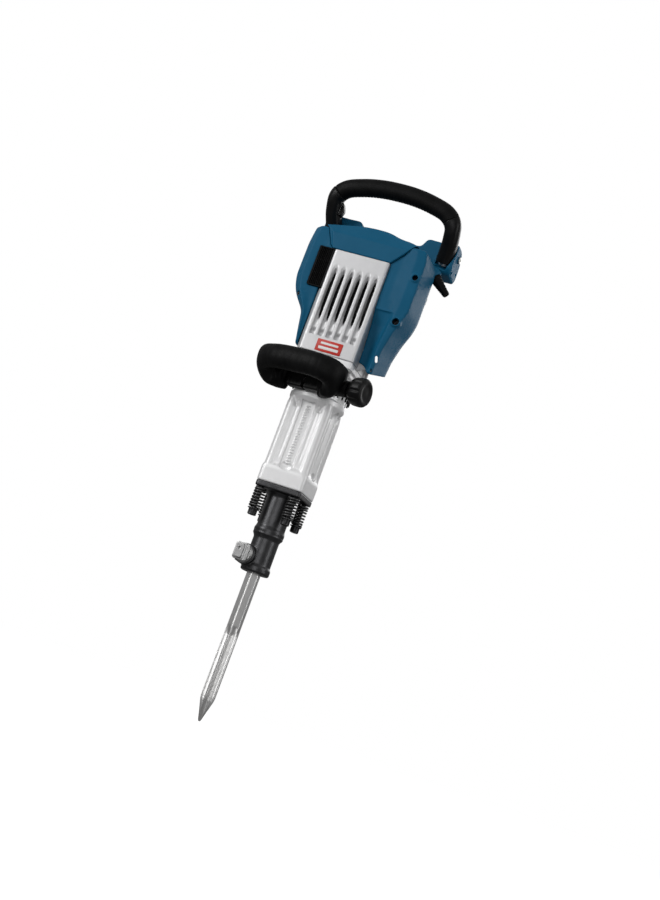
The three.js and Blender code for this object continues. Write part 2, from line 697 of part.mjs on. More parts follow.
// The yoke is a rear beam with a hollow bracket at each end that takes a leg.
function handleYoke() {
  const beam = prism('y', [
    [-97, 890], [97, 890], [97, 950], [64, 950], [56, 932], [-56, 932], [-64, 950], [-97, 950],
  ], 68, 98);
  const brackets = [-1, 1].map((side) => {
    const outline = [
      [54, 902], [62, 890], [102, 886], [110, 896], [108, 930], [96, 950], [62, 950], [56, 940],
    ];
    return prism('x', outline, Math.min(side * 94, side * BRACKET_OUT_X), Math.max(side * 94, side * BRACKET_OUT_X));
  });
  const sockets = [[0.0, 0.2], [0.8, 1.0]].map(([from, to]) => (
    sweep(HANDLE_PATH, 8, () => LEG_SECTION.map((half) => half + 1.2), 10, from, to)));
  const openFronts = [-1, 1].map((side) => {
    const [a, b] = [side * 93, side * 122.5];
    return box([Math.min(a, b), 40, 922], [Math.max(a, b), 70, 960]);
  });
  const postHoles = [-1, 1].map((side) => rod('z', side * POST_X, POST_Y, 6.6, 870, 960, 14));
  const boltHoles = [-1, 1].map((side) => {
    const [a, b] = [side * 118, side * 140];
    return rod('x', 84, 929, 3.6, Math.min(a, b), Math.max(a, b), 10);
  });
  return carve(beam, brackets, [...sockets, ...openFronts, ...postHoles, ...boltHoles]);
}

function bracketBolt(side) {
  const [a, b] = [side * (BRACKET_OUT_X + GAP), side * (BRACKET_OUT_X + 3.4)];
  const [c, d] = [side * 120, side * (BRACKET_OUT_X + 1)];
  const head = rod('x', 84, 929, 6.5, Math.min(a, b), Math.max(a, b), 12);
  return carve(head, [rod('x', 84, 929, 3.2, Math.min(c, d), Math.max(c, d), 8)]);
}

function damperRail() {
  const rail = prism('z', [[-96, 57], [96, 57], [96, 92], [88, 98], [-88, 98], [-96, 92]], 834, 846);
  const posts = [-1, 1].map((side) => rod('z', side * POST_X, POST_Y, 6.4, 830, 850, 14));
  return carve(rail, [], posts);
}

function guidePost(side) {
  const post = rod('z', side * POST_X, POST_Y, 6, 832, 944, 14);
  const foot = rod('z', side * POST_X, POST_Y, 9, 829, 833.7, 14);
  return carve(post, [foot]);
}

function damperSpring(side) {
  return prism('z', circle(side * POST_X, POST_Y, 11, 14), 846.3, 889.7, [circle(side * POST_X, POST_Y, 8, 10)]);
}

// ---- side handle: band, D-shaped grip, clamp bolt and knob, turned about the tool's axis ----
const sideHandle = new THREE.Group();
sideHandle.rotation.z = THREE.MathUtils.degToRad(SIDE_HANDLE_TURN);
tool.add(sideHandle);

const SIDE_GRIP_PATH = new THREE.CatmullRomCurve3([
  [-34, -61, 606], [-52, -64, 605], [-68, -80, 606.5], [-65, -101, 616.5], [-46, -111, 624], [0, -113, 625.5],
  [46, -111, 624], [65, -101, 616.5], [68, -80, 606.5], [52, -64, 605], [34, -61, 606],
].map((p) => new THREE.Vector3(...p)), false, 'centripetal');

function sideGrip() {
  // Tall where the arms meet the clamp, rounder along the bar that the hand holds.
  const rings = [];
  const [steps, sides] = [24, 12];
  for (let s = 0; s <= steps; s += 1) {
    const t = s / steps;
    const reach = Math.sin(Math.PI * t);
    const centre = SIDE_GRIP_PATH.getPoint(t);
    const along = SIDE_GRIP_PATH.getTangent(t);
    along.z = 0;
    along.normalize();
    const half = 12 + 5 * Math.min(1, reach * 1.6);
    const tall = 25.5 - 9 * THREE.MathUtils.smoothstep(reach, 0.55, 0.97);
    rings.push(Array.from({ length: sides }, (_, i) => {
      const angle = 2 * Math.PI * i / sides;
      return [
        centre.x + along.y * half * Math.cos(angle),
        centre.y - along.x * half * Math.cos(angle),
        centre.z + tall * Math.sin(angle),
      ];
    }));
  }
  const count = sides;
  const index = [];
  for (let r = 0; r < steps; r += 1) {
    for (let i = 0; i < count; i += 1) {
      const next = (i + 1) % count;
      const [a, b] = [r * count + i, r * count + next];
      index.push(a, b, b + count, a, b + count, a + count);
    }
  }
  for (let i = 1; i + 1 < count; i += 1) {
    index.push(0, i + 1, i);
    index.push(steps * count, steps * count + i, steps * count + i + 1);
  }
  const geometry = new THREE.BufferGeometry();
  geometry.setAttribute('position', new THREE.Float32BufferAttribute(rings.flat(2), 3));
  geometry.setIndex(index);
  return carve(geometry, [], [
    box([-36, -80, 570], [36, -40, 650]), rod('x', CLAMP_BOLT_Y, KNOB_Z, 5.4, -100, 100, 12),
  ]);
}

function clampBand() {
  const band = turnedRing([
    [COLLAR_R + CLEAR, RIM_Z + 0.6], [BAND_R, RIM_Z + 0.6], [BAND_R, 633], [COLLAR_R + CLEAR, 633],
  ], 32);
  const lugs = box([-35.7, -68, 589.4], [35.7, -46, 633]);
  const split = box([-2.5, -72, 580], [2.5, -40, 640]);
  const collarRoom = rod('z', 0, 0, COLLAR_R + CLEAR, 580, 640, 32);
  const rimRoom = rod('z', 0, 0, 51.4, 570, RIM_Z + 0.6, 28);
  return carve(band, [lugs], [split, collarRoom, rimRoom, rod('x', CLAMP_BOLT_Y, KNOB_Z, 5.4, -40, 40, 12)]);
}

function clampBolt() {
  return rod('x', CLAMP_BOLT_Y, KNOB_Z, 5, -40, KNOB_X + 11, 12);
}

function clampKnob() {
  const knob = turnedRing([
    [5.3, 0], [12, 0], [16, 3], [22, 8], [24.6, 14], [25, 28], [22, 33], [0, 34], [0, 13], [5.3, 13],
  ], 20);
  return knob;
}

// ---- electrics in the left side ----
function electronics() {
  const box0 = box([-100, -34, 796], [-74, 30, 842]);
  const fins = Array.from({ length: 5 }, (_, i) => box([-74.1, -30 + i * 13, 798], [-68, -26 + i * 13, 840]));
  return carve(box0, fins);
}

// ---- assembly ----
add('chisel', chisel(), 'steel');
add('tool_holder', toolHolder(), 'gunmetal');
add('lock_pin', lockPin(), 'gunmetal');
CORNERS.forEach(([sx, sy], i) => {
  add(`flange_spring_${i + 1}`, springSleeve(sx, sy), 'spring');
  add(`flange_screw_${i + 1}`, springScrew(sx, sy), 'spring');
  add(`housing_bolt_${i + 1}`, housingBolt(sx, sy), 'steel');
});
add('barrel', barrel(), 'silver');
add('cylinder', cylinder(), 'steel');
add('impact_bolt', impactBolt(), 'steel');
add('striker', striker(), 'steel');
add('piston', piston(), 'laminate');
add('connecting_rod', connectingRod(), 'laminate');
add('crankshaft', crankshaft(), 'steel');
add('crank_gear', crankGear(), 'steel');
add('intermediate_gear', intermediateGear(), 'steel');
add('motor_pinion', motorPinion(), 'steel');
add('armature', armature(), 'copper');
add('stator', stator(), 'laminate');
add('cooling_fan', fan(), 'plastic');
add('crank_bearing', bearing(47, 52, 14, 9.6, CRANK_Z), 'steel');
add('motor_bearing_front', bearing(-71, -64, 12, 6.3, MOTOR_Z), 'steel');
add('motor_bearing_rear', bearing(47, 55, 12, 6.3, MOTOR_Z), 'steel');
add('brush_holder_front', brush(-1), 'carbon');
add('brush_holder_rear', brush(1), 'carbon');
add('electronics_module', electronics(), 'board');
add('gear_housing', gearHousing(), 'silver');
add('gear_cover', gearCover(), 'silver');
add('front_label', frontLabel(), 'red');
add('left_cover', leftCover(), 'blue');
add('right_cover', rightCover(), 'blue');
add('air_grille', airGrille(), 'plastic');
add('top_hood', topHood(), 'blue');
add('rear_cover', rearCover(), 'blue');
add('strain_relief', strainRelief(), 'rubber');
add('damper_rail', damperRail(), 'gunmetal');
for (const [name, side] of [['left', -1], ['right', 1]]) {
  add(`guide_post_${name}`, guidePost(side), 'steel');
  add(`damper_spring_${name}`, damperSpring(side), 'spring');
  add(`bracket_bolt_${name}`, bracketBolt(side), 'steel');
  add(`leg_cover_${name}`, legCover(side), 'plastic');
}
add('handle_yoke', handleYoke(), 'blue');
add('handle_tube', handleTube(), 'steel');
add('main_grip', mainGrip(), 'rubber');
add('switch_rocker', switchRocker(), 'plastic');
addTo(sideHandle, 'side_handle_band', clampBand(), 'plastic');
addTo(sideHandle, 'side_handle_grip', sideGrip(), 'rubber');
addTo(sideHandle, 'clamp_bolt', clampBolt(), 'steel');
const knob = addTo(sideHandle, 'clamp_knob', clampKnob(), 'plastic');
knob.rotation.y = Math.PI / 2;
knob.position.set(KNOB_X, CLAMP_BOLT_Y, KNOB_Z);

export default tool;
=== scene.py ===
import json
import math

import bmesh
import bpy
import numpy as np
from mathutils import Matrix, Vector


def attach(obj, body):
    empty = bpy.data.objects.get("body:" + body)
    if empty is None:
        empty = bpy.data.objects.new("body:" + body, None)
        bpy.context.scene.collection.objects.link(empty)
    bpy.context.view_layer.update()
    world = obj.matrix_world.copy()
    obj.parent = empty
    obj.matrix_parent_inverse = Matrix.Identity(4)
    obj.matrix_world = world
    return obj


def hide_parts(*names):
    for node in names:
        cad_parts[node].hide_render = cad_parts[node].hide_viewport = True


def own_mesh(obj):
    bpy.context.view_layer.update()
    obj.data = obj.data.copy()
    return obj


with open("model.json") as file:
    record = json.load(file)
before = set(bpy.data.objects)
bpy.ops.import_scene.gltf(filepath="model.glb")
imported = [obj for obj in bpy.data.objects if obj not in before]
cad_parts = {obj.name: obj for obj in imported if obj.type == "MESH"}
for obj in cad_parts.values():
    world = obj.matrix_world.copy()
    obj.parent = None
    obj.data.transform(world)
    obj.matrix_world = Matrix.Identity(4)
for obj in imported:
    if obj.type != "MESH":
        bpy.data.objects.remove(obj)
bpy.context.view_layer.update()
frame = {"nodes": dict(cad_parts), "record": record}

# Shapes are drawn in millimetres, in the frame of the CAD part, and shrunk to metres as each
# one becomes a piece.
MM = 0.001

# ---- levels and sizes that the visible pieces share with the frame, in millimetres ----
POINT_Z = 38
FLUTE_Z = 164
MOUTH_Z = 266
LOCK_X = -18
LOCK_Z = 291
LOCK_R = 7.5
HEAD_LOW_Z = 357.5
SPRING_LOW_Z = 370
FLANGE_LOW_Z = 409.5
FLANGE_TOP_Z = 419
RIM_Z = 590
JOINT_LOW_Z = 646
JOINT_Z = 660
PANEL_TOP_Z = 849
CRANK_Z = 783.5
SCREW_X = 31.5
SCREW_Y = 30
CYLINDER_R = 31
SIDE = 52
FRONT_Y = -50
BACK_Y = 46
PANEL_HALF = 50.5
BOLT_X = 43
BOLT_FRONT_Y = -41
BOLT_BACK_Y = 37
HANDLE_TURN = math.radians(-13)
COLLAR_R = 47
BAND_R = 55
KNOB_X = 88
KNOB_Z = 606
CLAMP_BOLT_Y = -57
POST_X = 82
POST_Y = 82
BRACKET_OUT_X = 129
KNURL = 0.22
CORNERS = [(-1, -1), (1, -1), (1, 1), (-1, 1)]
SCREWS_AT = [(sx * SCREW_X, sy * SCREW_Y) for sx, sy in CORNERS]
BOLTS_AT = [(sx * BOLT_X, BOLT_FRONT_Y if sy < 0 else BOLT_BACK_Y) for sx, sy in CORNERS]


# ---- mesh building ----
def linked(name, data):
    """A new object of the scene for the data."""
    made = bpy.data.objects.new(name, data)
    bpy.context.scene.collection.objects.link(made)
    return made


def solid(verts, faces):
    """A working object from points in millimetres."""
    mesh = bpy.data.meshes.new("work")
    mesh.from_pydata([tuple(v) for v in verts], [], [tuple(f) for f in faces])
    bm = bmesh.new()
    bm.from_mesh(mesh)
    bmesh.ops.recalc_face_normals(bm, faces=bm.faces)
    bm.to_mesh(mesh)
    bm.free()
    return linked("work", mesh)


def applied(work):
    """Bakes the object's modifiers into its mesh."""
    graph = bpy.context.evaluated_depsgraph_get()
    mesh = bpy.data.meshes.new_from_object(work.evaluated_get(graph))
    old = work.data
    work.modifiers.clear()
    work.data = mesh
    bpy.data.meshes.remove(old)
    return work


def joined(*works):
    """One object from several, with their shells left as they are."""
    bm = bmesh.new()
    for work in works:
        bm.from_mesh(work.data)
    bm.to_mesh(works[0].data)
    bm.free()
    for work in works[1:]:
        bpy.data.objects.remove(work)
    return works[0]


def combined(work, operation, others):
    for other in others:
        boolean = work.modifiers.new("solid", "BOOLEAN")
        boolean.operation = operation
        boolean.solver = "EXACT"
        boolean.object = other
        applied(work)
        bpy.data.objects.remove(other)
    return work


def cut(work, *cutters):
    """The object with each cutter taken away from it."""
    return combined(work, "DIFFERENCE", cutters)


def fused(work, *others):
    """Closed shapes joined into one closed skin."""
    return combined(work, "UNION", others)


def bevelled(work, width, segments=2, angle=28):
    bevel = work.modifiers.new("bevel", "BEVEL")
    bevel.width = width
    bevel.segments = segments
    bevel.limit_method = "ANGLE"
    bevel.angle_limit = math.radians(angle)
    bevel.miter_outer = "MITER_ARC"
    return applied(work)


def melted(work, voxel, smoothing, keep=1.0):
    """A casting or moulding: the shells become one skin, and its edges are rounded off."""
    remesh = work.modifiers.new("skin", "REMESH")
    remesh.mode = "VOXEL"
    remesh.voxel_size = voxel * 1
    smooth = work.modifiers.new("round", "SMOOTH")
    smooth.factor = 0.5
    smooth.iterations = smoothing
    if keep < 1:
        thin = work.modifiers.new("thin", "DECIMATE")
        thin.ratio = keep
    return applied(work)


def mirrored(work):
    work.data.transform(Matrix.Scale(-1, 4, (1, 0, 0)))
    work.data.flip_normals()
    return work


def moved(work, *offset):
    work.data.transform(Matrix.Translation(offset))
    return work


def turned_by(work, angle):
    work.data.transform(Matrix.Rotation(angle, 4, "Z"))
    return work


def across(side, near, far):
    """A span along X from near to far, on the side -1 or 1, low end first."""
    return sorted((side * near, side * far))


AXES = {"x": (1, 2, 0), "y": (0, 2, 1), "z": (0, 1, 2)}


def place(axis, u, v, w):
    """A point from its two outline coordinates and its distance along the axis."""
    point = [0, 0, 0]
    for slot, value in zip(AXES[axis], (u, v, w)):
        point[slot] = value
    return point


def prism(axis, outline, low, high):
    count = len(outline)
    verts = [place(axis, u, v, w) for w in (low, high) for u, v in outline]
    faces = [tuple(range(count)), tuple(range(count, 2 * count))]
    faces += [(i, (i + 1) % count, (i + 1) % count + count, i + count) for i in range(count)]
    return solid(verts, faces)


def box(low, high):
    outline = [(low[0], low[1]), (high[0], low[1]), (high[0], high[1]), (low[0], high[1])]
    return prism("z", outline, low[2], high[2])


def circle(u, v, radius, sides=48, start=0.0):
    steps = [start + 2 * math.pi * i / sides for i in range(sides)]
    return [(u + radius * math.cos(a), v + radius * math.sin(a)) for a in steps]


def rod(axis, u, v, radius, low, high, sides=48):
    return prism(axis, circle(u, v, radius, sides), low, high)


def ball(centre, radii):
    """A cutter or a boss: a sphere stretched to three half widths."""
    bm = bmesh.new()
    bmesh.ops.create_uvsphere(bm, u_segments=48, v_segments=24, radius=1)
    mesh = bpy.data.meshes.new("work")
    bm.to_mesh(mesh)
    bm.free()
    mesh.transform(Matrix.Translation(centre) @ Matrix.Diagonal((*radii, 1)))
    return linked("work", mesh)


def rounded(points, radii, steps=5):
    """A closed outline with each corner rounded; one radius, or one for each corner."""
    count = len(points)
    radii = [radii] * count if isinstance(radii, (int, float)) else radii
    result = []
    for i in range(count):
        corner = Vector(points[i])
        back, ahead = Vector(points[i - 1]) - corner, Vector(points[(i + 1) % count]) - corner
        reach_back = min(radii[i], back.length * 0.48)
        reach_ahead = min(radii[i], ahead.length * 0.48)
        start, end = corner + back.normalized() * reach_back, corner + ahead.normalized() * reach_ahead
        for s in range(steps + 1):
            t = s / steps
            point = start * (1 - t) ** 2 + corner * 2 * t * (1 - t) + end * t**2
            result.append(tuple(point))
    return result


def rounded_box(half_u, half_v, radius, steps=5, centre=(0, 0)):
    return rounded([(centre[0] + su * half_u, centre[1] + sv * half_v) for su, sv in CORNERS], radius, steps)


def loft(rings, closed=False):
    """A skin over rings that all have the same number of points."""
    count = len(rings[0])
    verts = [p for ring in rings for p in ring]
    faces = []
    last = len(rings) if closed else len(rings) - 1
    for r in range(last):
        a, b = r * count, (r + 1) % len(rings) * count
        faces += [(a + i, a + (i + 1) % count, b + (i + 1) % count, b + i) for i in range(count)]
    if not closed:
        faces.append(tuple(range(count)))
        faces.append(tuple(range((len(rings) - 1) * count, len(rings) * count)))
    return solid(verts, faces)


def polar(sides, z, radius_at):
    """A ring round the Z axis, from a function of the angle."""
    angles = [2 * math.pi * i / sides for i in range(sides)]
    return [(radius_at(a) * math.cos(a), radius_at(a) * math.sin(a), z) for a in angles]


def lathe(profile, sides=96, on_axis=True):
    """Turned about Z from [radius, z] points; a profile off the axis closes on itself."""
    rings = [polar(sides, z, lambda angle: max(radius, 0.01)) for radius, z in profile]
    return loft(rings, closed=not on_axis)


def arc(centre_r, centre_z, radius, start, end, steps=6):
    """Points of a fillet in a turned profile; angles in degrees from the +radius direction."""
    angles = [math.radians(start + (end - start) * i / steps) for i in range(steps + 1)]
    return [(centre_r + radius * math.cos(a), centre_z + radius * math.sin(a)) for a in angles]


def along(work, start, end):
    """Stands a shape drawn up +Z from the origin on start, pointing at end."""
    direction = (Vector(end) - Vector(start)).normalized()
    turn = Vector((0, 0, 1)).rotation_difference(direction).to_matrix().to_4x4()
    work.data.transform(Matrix.Translation(start) @ turn)
    return work


def catmull(points, t):
    """A point at t from 0 to 1 on the centripetal curve through the points, as the frame has it."""
    points = [Vector(p) for p in points]
    place_on = (len(points) - 1) * t
    index = min(int(place_on), len(points) - 2)
    weight = place_on - index
    p1, p2 = points[index], points[index + 1]
    p0 = points[index - 1] if index > 0 else p1 * 2 - p2
    p3 = points[index + 2] if index + 2 < len(points) else p2 * 2 - p1
    d0, d1, d2 = [(b - a).length ** 0.5 for a, b in ((p0, p1), (p1, p2), (p2, p3))]
    d1 = max(d1, 1e-4)
    d0 = d0 if d0 > 1e-4 else d1
    d2 = d2 if d2 > 1e-4 else d1
    m1 = ((p1 - p0) / d0 - (p2 - p0) / (d0 + d1) + (p2 - p1) / d1) * d1
    m2 = ((p2 - p1) / d1 - (p3 - p1) / (d1 + d2) + (p3 - p2) / d2) * d1
    w2, w3 = weight**2, weight**3
    return p1 * (2 * w3 - 3 * w2 + 1) + m1 * (w3 - 2 * w2 + weight) + p2 * (3 * w2 - 2 * w3) + m2 * (w3 - w2)


def clamped(value):
    return min(1.0, max(0.0, value))


def heading(points, t):
    step = 1e-4
    return (catmull(points, min(t + step, 1)) - catmull(points, max(t - step, 0))).normalized()


def sweep(points, section, steps, start=0.0, end=1.0):
    """A tube along a curve; section(t) gives a ring of (across, depth), depth nearest to +Y."""
    rings = []
    for s in range(steps + 1):
        t = start + (end - start) * s / steps
        centre, forward = catmull(points, t), heading(points, t)
        depth = Vector((0, 1, 0))
        depth = (depth - forward * depth.dot(forward)).normalized()
        across = forward.cross(depth)
        rings.append([centre + across * u + depth * v for u, v in section(t)])
    return loft(rings)


def oval(half_u, half_v, sides=48, squareness=2.0):
    """A superellipse: 2 is an ellipse, and more is squarer."""
    result = []
    for u, v in circle(0, 0, 1, sides):
        scale = (abs(u) ** squareness + abs(v) ** squareness) ** (-1 / squareness)
        result.append((u * scale * half_u, v * scale * half_v))
    return result


def eased(levels, z, reach=7):
    """The row for level z of a table whose first column is the level, with its bends eased."""
    table = np.array(levels, float)
    around = np.linspace(z - reach, z + reach, 9)
    return [float(np.mean(np.interp(around, table[:, 0], table[:, c]))) for c in range(1, table.shape[1])]


def helix(x, y, z_low, z_high, coil_r, wire_r, turns, sides=12):
    """A ground-end compression spring: close turns at both ends and open ones between them."""
    rings = []
    steps = int(turns * 28)
    for s in range(steps + 1):
        t = s / steps
        angle = 2 * math.pi * turns * t
        ease = 0.5 - 0.5 * math.cos(math.pi * t)
        rise = 0.72 * t + 0.28 * ease
        low, high = z_low + wire_r, z_high - wire_r
        centre = Vector((x + coil_r * math.cos(angle), y + coil_r * math.sin(angle), low + (high - low) * rise))
        out = Vector((math.cos(angle), math.sin(angle), 0))
        up = Vector((0, 0, 1))
        rings.append([centre + out * u + up * v for u, v in circle(0, 0, wire_r, sides)])
    return loft(rings)


def socket_head(low, high, radius, socket_r, down=True):
    """A socket-head cap screw's head with a knurled rim, drawn up the Z axis."""
    sides = 72
    outline = [(low, radius - 1.1, 0), (low + 1.0, radius, 0), (low + 1.6, radius, KNURL),
               (high - 1.4, radius, KNURL), (high - 0.9, radius, 0), (high, radius - 0.3, 0)]
    head = loft([polar(sides, z, lambda a: r - bite * (math.cos(a * sides / 2) < 0)) for z, r, bite in outline])
    depth = (high - low) * 0.55
    span = (low - 1, low + depth) if down else (high - depth, high + 1)
    return cut(head, prism("z", circle(0, 0, socket_r, 6), *span))


# ---- materials: every one is procedural, with its detail at real scale ----
def node(tree, kind, **inputs):
    made = tree.nodes.new(kind)
    for name, value in inputs.items():
        made.inputs[name].default_value = value
    return made


def ramp(tree, source, stops):
    made = tree.nodes.new("ShaderNodeValToRGB")
    while len(made.color_ramp.elements) < len(stops):
        made.color_ramp.elements.new(0.5)
    for element, (at, value) in zip(made.color_ramp.elements, stops):
        element.position = at
        element.color = (*value, 1) if isinstance(value, tuple) else (value, value, value, 1)
    tree.links.new(source, made.inputs["Fac"])
    return made.outputs["Color"]


def noise(tree, coords, size, detail, roughness):
    """Noise whose blobs are about `size` metres across."""
    made = node(tree, "ShaderNodeTexNoise", Scale=1 / size, Detail=detail, Roughness=roughness)
    tree.links.new(coords, made.inputs["Vector"])
    return made.outputs["Fac"]


def mixed(tree, factor, a, b, blend="MIX"):
    made = tree.nodes.new("ShaderNodeMix")
    made.data_type = "RGBA"
    made.blend_type = blend
    for slot, value in ((0, factor), (6, a), (7, b)):
        if isinstance(value, bpy.types.NodeSocket):
            tree.links.new(value, made.inputs[slot])
        elif isinstance(value, tuple):
            made.inputs[slot].default_value = (*value, 1)
        else:
            made.inputs[slot].default_value = value
    return made.outputs[2]


def bumped(tree, height, distance, under=None):
    made = node(tree, "ShaderNodeBump", Strength=1.0, Distance=distance)
    tree.links.new(height, made.inputs["Height"])
    if under is not None:
        tree.links.new(under, made.inputs["Normal"])
    return made.outputs["Normal"]


LOOKS = {}


def surface(name, colour, worn, roughness, metallic=0.0, grain=0.0006, grain_depth=0.00003, wave=0.02,
            patches=0.08, wear=0.35, specular=0.5, extra=None):
    """A finish: base colour with soft patches, grain as bump, rubbed edges and uneven gloss.

    `worn` is the grey or the colour of rubbed edges, `roughness` is (polished, dull) and `grain` is
    the size of the surface's texture in metres. `extra(tree, coords)` may give one more bump height.
    """
    material = bpy.data.materials.new(name)
    material.use_nodes = True
    tree = material.node_tree
    shader = tree.nodes["Principled BSDF"]
    shader.inputs["Metallic"].default_value = metallic
    shader.inputs["Specular IOR Level"].default_value = specular
    coords = tree.nodes.new("ShaderNodeTexCoord").outputs["Object"]
    fine = noise(tree, coords, grain, 4, 0.6)
    broad = noise(tree, coords, wave, 4, 0.55)
    blotch = noise(tree, coords, 0.006, 5, 0.65)
    dark = tuple(c * (1 - patches) for c in colour)
    light = tuple(min(1, c * (1 + patches) + 0.004) for c in colour)
    base = mixed(tree, ramp(tree, broad, [(0.3, 0.0), (0.7, 1.0)]), dark, light)
    base = mixed(tree, ramp(tree, fine, [(0.35, 0.0), (0.75, 0.35)]), base, dark)
    edge = tree.nodes.new("ShaderNodeNewGeometry").outputs["Pointiness"]
    raised = ramp(tree, edge, [(0.515, 0.0), (0.58, wear)])
    rubbed = mixed(tree, 1.0, raised, ramp(tree, blotch, [(0.3, 0.35), (0.6, 1.0)]), "MULTIPLY")
    worn = worn if isinstance(worn, tuple) else (worn, worn, worn)
    tree.links.new(mixed(tree, rubbed, base, worn), shader.inputs["Base Color"])
    low, high = roughness
    tree.links.new(ramp(tree, blotch, [(0.3, low), (0.72, high)]), shader.inputs["Roughness"])
    normal = bumped(tree, fine, grain_depth) if grain_depth else None
    if extra is not None:
        height, depth = extra(tree, coords)
        normal = bumped(tree, height, depth, under=normal)
    if normal is not None:
        tree.links.new(normal, shader.inputs["Normal"])
    LOOKS[name] = material


def stripes(axis, pitch, depth):
    """Fine turning or brushing lines across an axis, as extra bump."""
    def make(tree, coords):
        wave = node(tree, "ShaderNodeTexWave", Scale=0.314 / pitch, Distortion=1.2, Detail=2)
        wave.bands_direction = axis
        tree.links.new(coords, wave.inputs["Vector"])
        return wave.outputs["Fac"], depth
    return make


def pebbles(size, depth):
    """Small rounded pips, as on a rubber grip."""
    def make(tree, coords):
        cells = node(tree, "ShaderNodeTexVoronoi", Scale=1 / size)
        cells.feature = "SMOOTH_F1"
        tree.links.new(coords, cells.inputs["Vector"])
        return ramp(tree, cells.outputs["Distance"], [(0.1, 1.0), (0.65, 0.0)]), depth
    return make


# Metals keep a roughness above 0.3, and the smooth ones have no bump.
surface("blue_plastic", (0.0045, 0.104, 0.205), (0.03, 0.18, 0.31), (0.42, 0.54), grain=0.0007,
        wave=0.05, patches=0.05, wear=0.3, specular=0.12)
surface("cast_aluminium", (0.62, 0.62, 0.63), 0.72, (0.36, 0.46), 0.35, grain=0.0009,
        wave=0.015, patches=0.03, wear=0.3)
# A lighter copy of the cast aluminium for the barrel: its extra brightness is painted light, standing for the
# light that falls on it.
surface("casting_with_painted_light", (0.86, 0.86, 0.865), 0.9, (0.34, 0.44), 0.2, grain=0.0009,
        grain_depth=0.00002, wave=0.015, patches=0.03, wear=0.3)
surface("soft_rubber", (0.0030, 0.0031, 0.0033), 0.015, (0.42, 0.55), patches=0.2, wear=0.2,
        specular=0.09, extra=pebbles(0.0018, 0.00006))
surface("black_plastic", (0.0035, 0.0035, 0.0038), 0.02, (0.3, 0.42), grain_depth=0.00002,
        patches=0.15, wear=0.2, specular=0.18)
surface("deep_black", (0.0016, 0.0016, 0.0017), 0.01, (0.42, 0.55), grain_depth=0.00001,
        patches=0.1, wear=0.1, specular=0.1)
surface("gunmetal", (0.060, 0.060, 0.063), 0.25, (0.32, 0.4), 0.9, grain=0.003, grain_depth=0,
        patches=0.15, wear=0.15)
surface("bright_steel", (0.80, 0.795, 0.79), 0.9, (0.31, 0.36), 1.0, grain=0.004, grain_depth=0,
        wave=0.03, patches=0.06, wear=0.0)
surface("forged_steel", (0.40, 0.40, 0.40), 0.7, (0.32, 0.4), 0.95, grain=0.003, grain_depth=0,
        wear=0.0)
surface("spring_steel", (0.028, 0.028, 0.030), 0.3, (0.32, 0.42), 0.8, grain_depth=0.00001,
        patches=0.2, wear=0.4)
surface("red_plate", (0.60, 0.020, 0.012), (0.7, 0.15, 0.1), (0.34, 0.44), grain_depth=0.000005,
        patches=0.05, wear=0.2, specular=0.3)
surface("copper_winding", (0.46, 0.17, 0.07), (0.7, 0.35, 0.18), (0.32, 0.42), 0.9,
        grain_depth=0.0001, patches=0.2, extra=stripes("X", 0.0012, 0.0001))
surface("laminated_steel", (0.20, 0.20, 0.21), 0.5, (0.35, 0.5), 0.85, patches=0.2,
        extra=stripes("X", 0.0006, 0.00005))
surface("green_board", (0.02, 0.11, 0.04), (0.1, 0.2, 0.1), (0.35, 0.5), grain=0.001,
        grain_depth=0.00005, patches=0.2)
surface("carbon", (0.03, 0.03, 0.031), 0.1, (0.45, 0.6), grain=0.0004, patches=0.2)
surface("zinc", (0.68, 0.68, 0.66), (0.85, 0.85, 0.83), (0.32, 0.4), 1.0, grain_depth=0.00001)
surface("white_print", (0.85, 0.84, 0.83), 0.9, (0.35, 0.45), grain_depth=0.000005, patches=0.03)
SLOT_OF = {s["node"]: s["material_slot"] for s in frame["record"]["subparts"]}


def piece(name, work, body, slot=None, look=None, replaces=(), angle=40):
    """Turns a working object into a finished piece: metres, smooth shading, material and body."""
    work.name = name
    work.data.name = name
    work.data.transform(Matrix.Scale(MM, 4))
    work.data.materials.clear()
    slot = slot or (SLOT_OF[replaces[0]] if replaces else None)
    work.data.materials.append(LOOKS[look or slot])
    work.data.shade_smooth()
    work.data.set_sharp_from_angle(angle=math.radians(angle))
    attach(work, body)
    if replaces:
        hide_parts(*replaces)
    return work


# ---- chisel ----
BODY_HEX_R = 12.9
SHANK_HEX_R = 16.4
VALLEY_R = 7.0


def chisel_radius(angle, z):
    """How far out the bar reaches at an angle: hexagon above, six hollow flutes below."""
    from_flat = (angle + math.pi / 6) % (math.pi / 3) - math.pi / 6
    hex_r = BODY_HEX_R if z < MOUTH_Z + 2 else SHANK_HEX_R
    flat = hex_r * math.cos(math.pi / 6) / math.cos(from_flat)
    flat = min(flat, hex_r - 0.45)
    valley = abs(math.cos(3 * angle)) ** 1.25
    ridge = BODY_HEX_R - 0.1
    deep = np.interp(z, [14, POINT_Z + 4, FLUTE_Z - 10, FLUTE_Z + 6], [0.25, 1, 1, 0])
    if z > FLUTE_Z + 6:
        return flat
    star = ridge - (ridge - VALLEY_R) * valley
    shape = flat + (star - flat) * deep
    taper = np.interp(z, [0, 3, POINT_Z, POINT_Z + 6], [0.15, 0.24, 0.95, 1.0])
    return shape * taper


